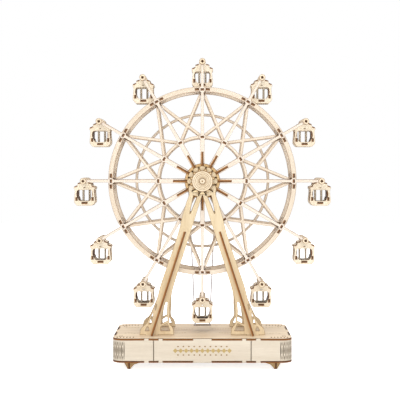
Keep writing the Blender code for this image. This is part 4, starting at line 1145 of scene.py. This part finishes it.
def frame_ring():
    """Lobed head, curved legs, tabs at the feet and the fork between the legs."""
    head = []
    for step in range(-HEAD_REACH_STEPS, HEAD_REACH_STEPS + 1):
        angle = step / HEAD_LOBE_STEPS * SECTOR
        wave = abs(math.cos(math.pi * angle / SECTOR)) ** HEAD_ROUNDNESS
        head.append(polar(HEAD_VALLEY_RADIUS + (HEAD_RADIUS - HEAD_VALLEY_RADIUS) * wave, angle))
    foot = -(LEG_DROP - FIT)
    outside = LEG_SPREAD + LEG_TAB_WIDTH / 2
    inside = LEG_SPREAD - LEG_TAB_WIDTH / 2
    tab = [(outside, foot), (outside, foot - PLY), (inside, foot - PLY), (inside, foot)]
    right = smoothed(leg_points(LEG_OUTER_SHARES)) + tab + leg_points(LEG_INNER_SHARES[:1])
    right += smoothed(leg_points(LEG_INNER_SHARES[1:]))
    return head + right + [(0.0, -FORK_SHARE * LEG_DROP)] + mirrored(right)


def make_frames():
    """Two frame plates and the ribs on their outer faces."""
    place = Matrix.Translation(HUB) @ UPRIGHT
    holes = [circle(AXLE_RADIUS + FIT, AXLE_SIDES)]
    for shares in LEG_OPENINGS:
        opening = rounded(leg_points(shares), LEG_CORNER_RADIUS)
        holes += [opening, mirrored(opening)]
    for side, near, far in both_sides(FRAME_IN, FRAME_OUT):
        cut_piece(side + "_a_frame", [([frame_ring()] + holes, near, far)], FRAME_FACE, BROWN_EDGE, "root",
                  side + "_frame", place=place)
    lean = math.atan2(LEG_SPREAD - LEG_TOP_OFFSET, LEG_DROP)
    near = FRAME_OUT + FIT / 3
    top = -RIB_TOP_DROP / math.cos(lean)
    foot = (FIT - LEG_DROP) / math.cos(lean) + PLY / 2 * math.tan(lean)
    outline = [(near, top), (near + RIB_TOP_DEPTH, top), (near + RIB_FOOT_DEPTH, foot), (near, foot)]
    for across, side in (("left", -1), ("right", 1)):
        start = Matrix.Translation((side * LEG_TOP_OFFSET, HUB.y, HUB.z))
        place = start @ Matrix.Rotation(-side * lean, 4, "Y") @ SIDEWAYS
        for along, facing in (("front", -1), ("rear", 1)):
            board = ([[(facing * u, v) for u, v in outline]], -RIB_THICKNESS / 2, RIB_THICKNESS / 2)
            cut_piece(f"{along}_{across}_leg_rib", [board], RIB_FACE, RIB_EDGE, "root",
                      f"{along}_{across}_rib", place=place, halo=RIB_HALO)


# Base

def notched(start, along, inward, notches):
    """Points of a straight edge with an open notch for each (middle, width)."""
    points = []
    depth = PLY + SLOT_GAP
    for middle, width in notches:
        for offset, cut in ((-width / 2, 0), (-width / 2, depth), (width / 2, depth), (width / 2, 0)):
            travel = middle + offset
            points.append((start[0] + along[0] * travel + inward[0] * cut,
                           start[1] + along[1] * travel + inward[1] * cut))
    return points


def plate_ring():
    """Rounded plate, notched where the walls' tabs come through."""
    middle_y = (BASE_FRONT + BASE_REAR) / 2
    tabs = [(MIDDLE_TAB_WIDTH, (0.0,)), (END_TAB_WIDTH, (-END_TAB_SPAN / 2, END_TAB_SPAN / 2)),
            (WRAP_TAB_WIDTH, (-WRAP_TAB_SPAN / 2, WRAP_TAB_SPAN / 2))]
    long_notches = sorted((middle, width + 2 * SLOT_GAP) for width, middles in tabs for middle in middles)
    side_notches = [(side * SIDE_TAB_SPAN / 2, SIDE_TAB_LENGTH + 2 * SLOT_GAP) for side in (-1, 1)]
    edges = (notched((0.0, BASE_FRONT), (1, 0), (0, 1), long_notches),
             notched((BASE_HALF, middle_y), (0, 1), (-1, 0), side_notches),
             notched((0.0, BASE_REAR), (-1, 0), (0, -1), long_notches),
             notched((-BASE_HALF, middle_y), (0, -1), (1, 0), side_notches))
    inner_x = BASE_HALF - CORNER_RADIUS
    front_y, rear_y = BASE_FRONT + CORNER_RADIUS, BASE_REAR - CORNER_RADIUS
    centres = ((inner_x, front_y), (inner_x, rear_y), (-inner_x, rear_y), (-inner_x, front_y))
    outline = []
    for index, edge in enumerate(edges):
        outline += edge
        first = math.pi - index * math.pi / 2
        outline += arc(CORNER_RADIUS, first, first - math.pi / 2, CORNER_STEPS, centres[index])
    return outline


def foot_boards(sheets):
    """Four feet, each of two crossed tapered sheets; one sheet has a thin wing towards the middle."""
    half_top = FOOT_TOP_WIDTH / 2
    half_tip = FOOT_TIP_WIDTH / 2
    top = BASE_FLOOR - FIT / 3
    shoulder = (-half_top * FOOT_SHOULDER_SHARES[0], top * FOOT_SHOULDER_SHARES[1])
    ankle = (half_tip * FOOT_ANKLE_SHARES[0], top * FOOT_ANKLE_SHARES[1])
    curve = [(-half_top, top), shoulder, (-ankle[0], ankle[1]), (-half_tip, 0.0)]
    curve = smoothed(curve, FOOT_CURVE_STEPS)
    along = curve + [(half_tip, 0.0), ankle, (half_top * FOOT_WING_SHARE, top - FOOT_WING_HEIGHT),
                     (FOOT_WING_REACH, top - FOOT_WING_END), (FOOT_WING_REACH, top)]
    across = curve + mirrored(curve)
    for side in (-1, 1):
        x = side * (BASE_HALF - FOOT_INSET_X)
        for y in (BASE_FRONT + FOOT_INSET_Y, BASE_REAR - FOOT_INSET_Y):
            here = Matrix.Translation((x, y, 0))
            sheets.board([[(-side * u, v) for u, v in along]], -PLY / 2, PLY / 2, here @ UPRIGHT)
            sheets.board([across], -PLY / 2, PLY / 2, here @ SIDEWAYS)


def make_plates():
    """Bottom plate with its feet, and the top plate with its slots."""
    cut_piece("bottom_plate_sheet", [([plate_ring()], BASE_FLOOR, WALL_FOOT)], PLATE_FACE, RUST_EDGE, "root",
              "base_bottom_plate", place=FLAT, halo=BOTTOM_PLATE_HALO, along=0)
    feet = Sheets()
    foot_boards(feet)
    # The feet take the darker foot face, painted shade under the base
    feet.piece("crossed_feet", SHADED_FOOT_FACE, DARK_EDGE, "root", "base_bottom_plate")
    frame_plane = (FRAME_IN + FRAME_OUT) / 2
    tab_slot = (LEG_TAB_WIDTH + 2 * FIT, PLY + 2 * FIT)
    holes = [box_ring(BELT_SLOT_WIDTH, BELT_SLOT_DEPTH, (0.0, HUB.y + BELT_PLANE))]
    holes += [box_ring(*tab_slot, (side * LEG_SPREAD, HUB.y + plane))
              for side in (-1, 1) for plane in (-frame_plane, frame_plane)]
    cut_piece("top_plate_sheet", [([plate_ring()] + holes, WALL_TOP, BASE_TOP)], PLATE_FACE, PLATE_EDGE,
              "root", "base_top_plate", place=FLAT, halo=TOP_PLATE_HALO, along=0)


def wall_ring():
    """Flat wall between the seams, with its tabs."""
    half = SEAM_SPAN / 2 - SEAM_GAP / 2
    low, high = WALL_FOOT + FIT / 3, WALL_TOP - FIT / 3
    upper = [(-half, high)]
    for middle, width in ((-END_TAB_SPAN / 2, END_TAB_WIDTH), (0.0, MIDDLE_TAB_WIDTH),
                          (END_TAB_SPAN / 2, END_TAB_WIDTH)):
        upper += [(middle - width / 2, high), (middle - width / 2, BASE_TOP),
                  (middle + width / 2, BASE_TOP), (middle + width / 2, high)]
    upper.append((half, high))
    return upper + [(u, low if v == high else BASE_FLOOR) for u, v in reversed(upper)]


def make_panels():
    """Front panel, and the rear panel with the shaft's hole."""
    shaft_hole = circle(AXLE_RADIUS + FIT, AXLE_SIDES, (0.0, CRANK.z))
    front = ([wall_ring()], BASE_FRONT + SKIN, BASE_FRONT + PLY)
    rear = ([wall_ring(), shaft_hole], BASE_REAR - PLY, BASE_REAR)
    for side, board in (("front", front), ("rear", rear)):
        cut_piece(side + "_wall_sheet", [board], WALL_FACE, DARK_EDGE, "root", f"base_{side}_panel", along=0)


SLITS = 15
SLIT_OVERRUN = 0.0016
SLIT_SMOKE = 0.18
SLIT_WIDTH = 0.00070
SLIT_TIP = 0.00002
SLIT_HALO = 0.00024
SLIT_MARGIN = 0.0012
SLIT_BRIDGE = 0.0018
BRIDGE_SHARES = (0.29, 0.71)
SLIT_STEPS = 4
PLAIN, TAB, LONG_SLIT, SHORT_SLITS = range(4)


def slit_ring(middle, low, high):
    """A slit that narrows to its ends, listed clockwise."""
    bulge = SLIT_WIDTH / 2 - SLIT_TIP
    shares = [step / SLIT_STEPS for step in range(SLIT_STEPS + 1)]
    right = [(middle + SLIT_TIP + bulge * math.sin(math.pi * t), low + (high - low) * t) for t in shares]
    return [(2 * middle - u, v) for u, v in right] + right[::-1]


class BentWall:
    """A wall bent round one end of the base, with staggered slits through both bends."""

    def __init__(self, side):
        self.side = side
        self.sheets = Sheets()
        self.corners = {}
        self.low, self.high = WALL_FOOT + FIT / 3, WALL_TOP - FIT / 3
        self.straight_front = BASE_HALF - CORNER_RADIUS - SEAM_SPAN / 2 - SEAM_GAP / 2
        self.bend = CORNER_RADIUS * math.pi / 2
        self.straight_side = BASE_REAR - BASE_FRONT - 2 * CORNER_RADIUS
        self.length = 2 * self.straight_front + 2 * self.bend + self.straight_side
        self.tone = chance.uniform(-0.3, 0.3)
        self.columns = self.make_columns()

    def make_columns(self):
        """Start, end and kind of each column, from the front seam round to the rear one."""
        half = self.length / 2
        front_tab = WRAP_TAB_SPAN / 2 - SEAM_SPAN / 2 - SEAM_GAP / 2
        side_tab = half - SIDE_TAB_SPAN / 2
        stops = [(0.0, PLAIN), (HALO, PLAIN), (front_tab - WRAP_TAB_WIDTH / 2, TAB),
                 (front_tab + WRAP_TAB_WIDTH / 2, PLAIN)]
        first_slit = self.straight_front - SLIT_OVERRUN
        spread = self.bend + 2 * SLIT_OVERRUN
        stops += [(first_slit + spread * step / SLITS, SHORT_SLITS if step % 2 else LONG_SLIT)
                  for step in range(SLITS)]
        stops += [(first_slit + spread, PLAIN), (side_tab - SIDE_TAB_LENGTH / 2, TAB),
                  (side_tab + SIDE_TAB_LENGTH / 2, PLAIN), (half, PLAIN)]
        columns = [(first[0], second[0], first[1]) for first, second in zip(stops, stops[1:])]
        return columns + [(self.length - end, self.length - start, kind)
                          for start, end, kind in reversed(columns)]

    def place(self, travel, depth, z):
        """Point at a travel along the wall and at a depth under its outer face."""
        mirror = travel > self.length / 2
        run = self.length - travel if mirror else travel
        inner_x = BASE_HALF - CORNER_RADIUS
        if run < self.straight_front:
            x, y = SEAM_SPAN / 2 + SEAM_GAP / 2 + run, BASE_FRONT + depth
        elif run < self.straight_front + self.bend:
            angle = (run - self.straight_front) / CORNER_RADIUS
            x = inner_x + (CORNER_RADIUS - depth) * math.sin(angle)
            y = BASE_FRONT + CORNER_RADIUS - (CORNER_RADIUS - depth) * math.cos(angle)
        else:
            x, y = BASE_HALF - depth, BASE_FRONT + CORNER_RADIUS + run - self.straight_front - self.bend
        if mirror:
            y = BASE_FRONT + BASE_REAR - y
        return (self.side * x, y, z)

    def stain_at(self, travel, z):
        """One on the cut outline, and none on the tabs and away from the edges."""
        if min(travel, self.length - travel) < SLIT_TIP:
            return 1.0
        on_tab = any(kind == TAB and start - SLIT_TIP < travel < end + SLIT_TIP
                     for start, end, kind in self.columns)
        on_edge = min(abs(z - self.low), abs(z - self.high)) < SLIT_TIP
        return 1.0 if on_edge and not on_tab else 0.0

    def corner(self, travel, z, layer, scorch=None):
        key = (round(travel, 7), round(z, 7), layer)
        if key not in self.corners:
            spot = self.place(travel, layer * PLY, z)
            scorch = self.stain_at(travel, z) if scorch is None else scorch
            self.corners[key] = self.sheets.corner(FLAT, spot, scorch, self.tone)
        return self.corners[key]

    def patch(self, ring, slit=None):
        """Both faces of a part of the wall, with the sides of its slit."""
        for layer in (0, 1):
            if slit is None:
                self.fill(ring, layer)
                continue
            halo = drawn_in(slit, SLIT_HALO)
            both = ring + halo
            stains = [None] * len(ring) + [SLIT_SMOKE] * len(halo)
            outlines = [[Vector((s, z, 0.0)) for s, z in points] for points in (ring, halo)]
            for triangle in tessellate_polygon(outlines):
                self.fill([both[c] for c in triangle], layer, [stains[c] for c in triangle])
            for here in range(len(slit)):
                after = (here + 1) % len(slit)
                self.fill([slit[here], slit[after], halo[after], halo[here]], layer,
                          [1.0, 1.0, SLIT_SMOKE, SLIT_SMOKE])
        for here in range(len(slit or ())):
            self.wall_side(slit[here], slit[(here + 1) % len(slit)])

    def fill(self, points, layer, stains=None):
        """One face of the wall; without stains, each corner's follows from its place."""
        stains = stains or [None] * len(points)
        corners = [self.corner(*point, layer, stain) for point, stain in zip(points, stains)]
        self.sheets.face(corners, [(z, s) for s, z in points], 0)

    def wall_side(self, first, second):
        """Cut side between two points of the outline or of a slit."""
        corners = [self.corner(*point, layer)
                   for point, layer in ((first, 0), (second, 0), (second, 1), (first, 1))]
        end = first[0] + (Vector(second) - Vector(first)).length
        self.sheets.face(corners, ((first[0], 0), (end, 0), (end, PLY), (first[0], PLY)), 1)

    def slit_column(self, number, bottom, top):
        """A column of a bend: one long slit, or three with bridges between them."""
        start, end, kind = self.columns[number]
        middle = (start + end) / 2
        breaks = [bottom + (top - bottom) * share for share in BRIDGE_SHARES]
        if kind == LONG_SLIT:
            ahead = breaks if self.columns[number + 1][2] == SHORT_SLITS else []
            behind = breaks[::-1] if self.columns[number - 1][2] == SHORT_SLITS else []
            ring = [(start, bottom), (end, bottom)] + [(end, z) for z in ahead]
            ring += [(end, top), (start, top)] + [(start, z) for z in behind]
            self.patch(ring, slit_ring(middle, bottom + SLIT_MARGIN, top - SLIT_MARGIN))
            return
        stops = [bottom] + breaks + [top]
        for low, high in zip(stops, stops[1:]):
            self.patch([(start, low), (end, low), (end, high), (start, high)],
                       slit_ring(middle, low + SLIT_BRIDGE / 2, high - SLIT_BRIDGE / 2))

    def build(self, name, node):
        """Fill the grid of columns and levels, close its sides and finish it."""
        levels = (BASE_FLOOR, self.low, self.low + HALO, self.high - HALO, self.high, BASE_TOP)
        filled = {(number, level) for number in range(len(self.columns)) for level in (1, 2, 3)}
        filled |= {(number, level) for number, column in enumerate(self.columns) if column[2] == TAB
                   for level in (0, 4)}
        for number, level in sorted(filled):
            start, end, kind = self.columns[number]
            bottom, top = levels[level], levels[level + 1]
            ring = [(start, bottom), (end, bottom), (end, top), (start, top)]
            if kind in (LONG_SLIT, SHORT_SLITS) and level == 2:
                self.slit_column(number, bottom, top)
            else:
                self.patch(ring)
            for (a, b), beside in (((0, 1), (number, level - 1)), ((1, 2), (number + 1, level)),
                                   ((2, 3), (number, level + 1)), ((3, 0), (number - 1, level))):
                if beside not in filled:
                    self.wall_side(ring[a], ring[b])
        mesh = self.sheets.mesh(name)
        for polygon in mesh.polygons:
            polygon.use_smooth = True
        finished(name, mesh, WALL_FACE, SOOTY_EDGE, "root", [node])


# Drive

def belt_line(wheel_radius, crank_radius):
    """A closed loop round the two pulleys as (x, z) points."""
    lean = math.asin((wheel_radius - crank_radius) / (HUB.z - CRANK.z))
    right = math.pi / 2 + lean
    loop = arc(wheel_radius, right, -right, BELT_STEPS, (0.0, HUB.z))
    return loop + arc(crank_radius, -right, right - 2 * math.pi, BELT_STEPS, (0.0, CRANK.z))


def make_belt():
    """Rubber belt, its corners eased, round both pulleys."""
    y = HUB.y + BELT_PLANE
    half = BELT_WIDTH / 2
    ease = BELT_THICKNESS / 4
    lower = [(0.0, ease - half), (ease, -half), (BELT_THICKNESS - ease, -half), (BELT_THICKNESS, ease - half)]
    sheets = Sheets()
    rings = []
    for rise, across in lower + [(u, -v) for u, v in reversed(lower)]:
        line = belt_line(WHEEL_GROOVE_RADIUS + FIT + rise, CRANK_GROOVE_RADIUS + FIT + rise)
        rings.append([sheets.corner(FLAT, (x, y + across, z), 0.0, 0.0) for x, z in line])
    for index, ring in enumerate(rings):
        beside = rings[(index + 1) % len(rings)]
        for step in range(len(ring)):
            after = (step + 1) % len(ring)
            corners = (ring[step], ring[after], beside[after], beside[step])
            sheets.face(corners, [(v.co.x, v.co.z) for v in corners], 0).smooth = True
    sheets.piece("rubber_belt", RUBBER, RUBBER, "root", "drive_belt", slot="rubber")


def make_crank():
    """Bracket, shaft, small pulley, arm of two sheets and turned knob."""
    belt_y = HUB.y + BELT_PLANE
    front = belt_y - GROOVE_WIDTH / 2
    back = belt_y + GROOVE_WIDTH / 2
    spin = Matrix.Translation((CRANK.x, 0, CRANK.z))
    centre = spin @ UPRIGHT
    hole = circle(AXLE_RADIUS + SLOT_GAP, AXLE_SIDES)
    bracket = [box_ring(BRACKET_WIDTH, WALL_HEIGHT - 2 * FIT), hole]
    bracket_back = front - PLY - BRACKET_GAP
    cut_piece("shaft_bracket", [(bracket, bracket_back - PLY, bracket_back)], PANEL_FACE, BROWN_EDGE, "root",
              "crank_bracket", place=centre)

    arm_front = BASE_REAR + CRANK_ARM_GAP
    arm_back = arm_front + 2 * PLY
    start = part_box("crank_shaft")[0].y
    shaft = [(0, start), (AXLE_RADIUS - ROD_EASE, start), (AXLE_RADIUS, start + ROD_EASE),
             (AXLE_RADIUS, arm_back - ROD_EASE), (AXLE_RADIUS - ROD_EASE, arm_back), (0, arm_back)]
    turned_piece("crank_rod", [shaft], TURNED_SIDES, DOWEL, "crank", "crank_shaft", place=spin)
    flange = CRANK_GROOVE_RADIUS + FLANGE_DEPTH
    layers = ((flange, front - PLY, front), (CRANK_GROOVE_RADIUS, front, back), (flange, back, back + PLY))
    discs = [([circle(radius, SMALL_PULLEY_SIDES), hole], near, far) for radius, near, far in layers]
    cut_piece("small_pulley", discs, PANEL_FACE, BROWN_EDGE, "crank", "crank_pulley", place=centre)

    half = CRANK_ARM_WIDTH / 2
    outline = arc(half, math.pi, 2 * math.pi, CRANK_ARM_STEPS)
    outline += arc(half, 0.0, math.pi, CRANK_ARM_STEPS, (CRANK_ARM_LENGTH, 0.0))
    arm = [([outline, hole], near, near + PLY) for near in (arm_front, arm_front + PLY)]
    cut_piece("crank_lever", arm, FRAME_FACE, BROWN_EDGE, "crank", "crank_arm", place=centre, along=0)
    base = arm_back + FIT / 3
    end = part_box("crank_knob")[1].y
    side = [(radius, base + share * (end - base)) for radius, share in smoothed(KNOB_PROFILE)]
    at_knob = Matrix.Translation((CRANK.x + CRANK_ARM_LENGTH, 0, CRANK.z))
    turned_piece("turned_knob", [[(0, base)] + side + [(0, end)]], TURNED_SIDES, DOWEL, "crank", "crank_knob",
                 place=at_knob)


# Engraving

BORDER_SIDE = 0.0050
BORDER_FRONT = 0.0090
BORDER_REAR = 0.0130
BORDER_LENGTH = 0.0180
BORDER_PITCH = 0.0034
DASH = (0.0016, 0.0078)
CURL = (0.0017, 0.0046)
CURL_MARK = (0.0011, 0.0009)
SCROLL_MARK = (0.0026, 0.0022)
SCROLLS = ((0.088, 0.074, -0.032), (0.044, 0.020, -0.030), (0.040, 0.012, -0.001), (0.090, 0.076, 0.012))
SCROLL_BOW = 0.0016
SCROLL_PITCH = 0.00312
SCROLL_STEPS = 8
CURL_STEPS = 24
LONG_MARK_SIDES = 8
SMALL_MARK_SIDES = 6
LOZENGE_SIDES = 4
BAND_REACH = 0.0300
BAND_HEIGHT = 0.0094
BAND_PITCH = BAND_REACH / 5
BETWEEN_REACH = BAND_REACH * 0.9
LOZENGE = (0.0052, 0.0054)
BAND_DOT = (0.0014, 0.0014)
BAND_FLECK = (0.0020, 0.0016)


def make_engraving():
    """Dashes and curls near the top plate's corners, faint scrolls, and a lozenge band on the front panel."""
    plate = Matrix.Translation((0, 0, BASE_TOP))
    front_level, rear_level = BASE_FRONT + BORDER_FRONT, BASE_REAR - BORDER_REAR
    start = BASE_HALF - BORDER_SIDE
    for number, (side, level) in enumerate(((-1, front_level), (1, front_level), (1, rear_level),
                                            (-1, rear_level)), 1):
        line = [(side * start, level), (side * (start - BORDER_LENGTH), level)]
        marks_along(f"border_dashes_{number}", line, plate, BORDER_PITCH, DASH, LONG_MARK_SIDES,
                    "base_top_plate")
        centre = (side * (start - BORDER_PITCH), level + math.copysign(DASH[1], -level))
        curl = [(centre[0] + CURL[0] * u, centre[1] + CURL[1] * v) for u, v in circle(1.0, CURL_STEPS)]
        marks_along(f"border_curl_{number}", curl, plate, CURL_MARK[0], CURL_MARK, SMALL_MARK_SIDES,
                    "base_top_plate", closed=True)
    for side_number, side in enumerate((-1, 1), 1):
        for row, (far, near, level) in enumerate(SCROLLS, 1):
            bow = [(side * (far + (near - far) * step / SCROLL_STEPS),
                    level + SCROLL_BOW * math.sin(2 * math.pi * step / SCROLL_STEPS))
                   for step in range(SCROLL_STEPS + 1)]
            marks_along(f"scroll_{side_number}_{row}", bow, plate, SCROLL_PITCH, SCROLL_MARK,
                        SMALL_MARK_SIDES, "base_top_plate", PALE_MARK)
    front = Matrix.Translation((0, BASE_FRONT + SKIN, 0)) @ UPRIGHT
    middle_z = (WALL_FOOT + WALL_TOP) / 2
    for row, (lift, reach, size, sides, finish) in enumerate((
            (0.0, BAND_REACH, LOZENGE, LOZENGE_SIDES, PALE_MARK),
            (0.0, BETWEEN_REACH, BAND_DOT, LONG_MARK_SIDES, MARK),
            (BAND_HEIGHT / 2, BETWEEN_REACH, BAND_FLECK, LONG_MARK_SIDES, MARK),
            (-BAND_HEIGHT / 2, BETWEEN_REACH, BAND_FLECK, LONG_MARK_SIDES, MARK)), 1):
        line = [(-reach, middle_z + lift), (reach, middle_z + lift)]
        marks_along(f"front_band_{row}", line, front, BAND_PITCH, size, sides, "base_front_panel", finish)


# Studio

CAMERA_PLACE = (0.0, -1.221, 0.224)
CAMERA_PITCH = math.radians(-1.715)
CAMERA_PAN = math.radians(0.13)
CAMERA_LENS = 93.9
SENSOR_WIDTH = 36.0
FLOOR_REACH = 3.0
WHITE = (1.0, 1.0, 1.0)
FLOOR_GREY = (0.93, 0.93, 0.93)
ROOM_GREY = (0.56, 0.56, 0.57)
FLOOR_GLOW = (0.12, 0.5, 0.75, 1.0)
LAMP_AIM = (0.0, 0.0, 0.17)
LAMPS = (("front key", (-0.30, -1.2, 1.10), 0.8, 6.2), ("front fill", (0.15, -1.5, 0.30), 0.7, 7.4),
         ("top light", (0.0, -0.1, 1.6), 1.2, 10.0), ("back light", (0.2, 1.5, 0.9), 1.2, 6.0))


def make_camera():
    """The photo's place, angle and lens."""
    data = bpy.data.cameras.new("photo camera")
    data.lens = CAMERA_LENS
    data.sensor_width = SENSOR_WIDTH
    camera = linked("photo camera", data)
    camera.location = CAMERA_PLACE
    camera.rotation_euler = (math.pi / 2 + CAMERA_PITCH, 0.0, CAMERA_PAN)
    bpy.context.scene.camera = camera


def seen_directly(tree):
    """One where a ray comes from the camera, a mirror reflection or clear glass."""
    path = add(tree, "ShaderNodeLightPath").outputs
    either = maths(tree, "MAXIMUM", path["Is Camera Ray"], path["Is Glossy Ray"])
    return maths(tree, "MAXIMUM", either, path["Is Transmission Ray"])


def make_lamps():
    """Soft square lamps, given by name, place, size and power."""
    for name, place, size, power in LAMPS:
        data = bpy.data.lights.new(name, "AREA")
        data.energy = power
        data.size = size
        lamp = linked(name, data)
        lamp.location = place
        lamp.rotation_euler = (Vector(LAMP_AIM) - Vector(place)).to_track_quat("-Z", "Y").to_euler()


def make_studio():
    """Plain pale floor that glows white away from the toy, soft lamps and a white background."""
    world = bpy.data.worlds.new("studio")
    bpy.context.scene.world = world
    world.use_nodes = True
    tree = world.node_tree
    shade = blended(tree, seen_directly(tree), opaque(ROOM_GREY), opaque(WHITE))
    feed(tree, tree.nodes["Background"], {"Color": shade})
    mesh = bpy.data.meshes.new("floor")
    corners = [(u, v, 0.0) for u, v in box_ring(2 * FLOOR_REACH, 2 * FLOOR_REACH)]
    mesh.from_pydata(corners, [], [(0, 1, 2, 3)])
    material, tree, shader = new_material("pale floor", 0.9, 0.1)
    spot = object_spot(tree)
    distance = add(tree, "ShaderNodeVectorMath", {0: spot}, operation="LENGTH").outputs["Value"]
    glow = ranged(tree, distance, *FLOOR_GLOW)
    feed(tree, shader, {"Base Color": opaque(FLOOR_GREY), "Emission Color": opaque(WHITE),
                        "Emission Strength": maths(tree, "MULTIPLY", seen_directly(tree), glow)})
    mesh.materials.append(material)
    linked("floor", mesh)
    make_lamps()
    bpy.context.scene.view_settings.view_transform = "Standard"


make_camera()
make_wheel()
make_hub()
make_cabins()
make_frames()
make_plates()
make_panels()
BentWall(-1).build("left_bent_wall", "base_left_wall")
BentWall(1).build("right_bent_wall", "base_right_wall")
make_belt()
make_crank()
make_engraving()
make_studio()
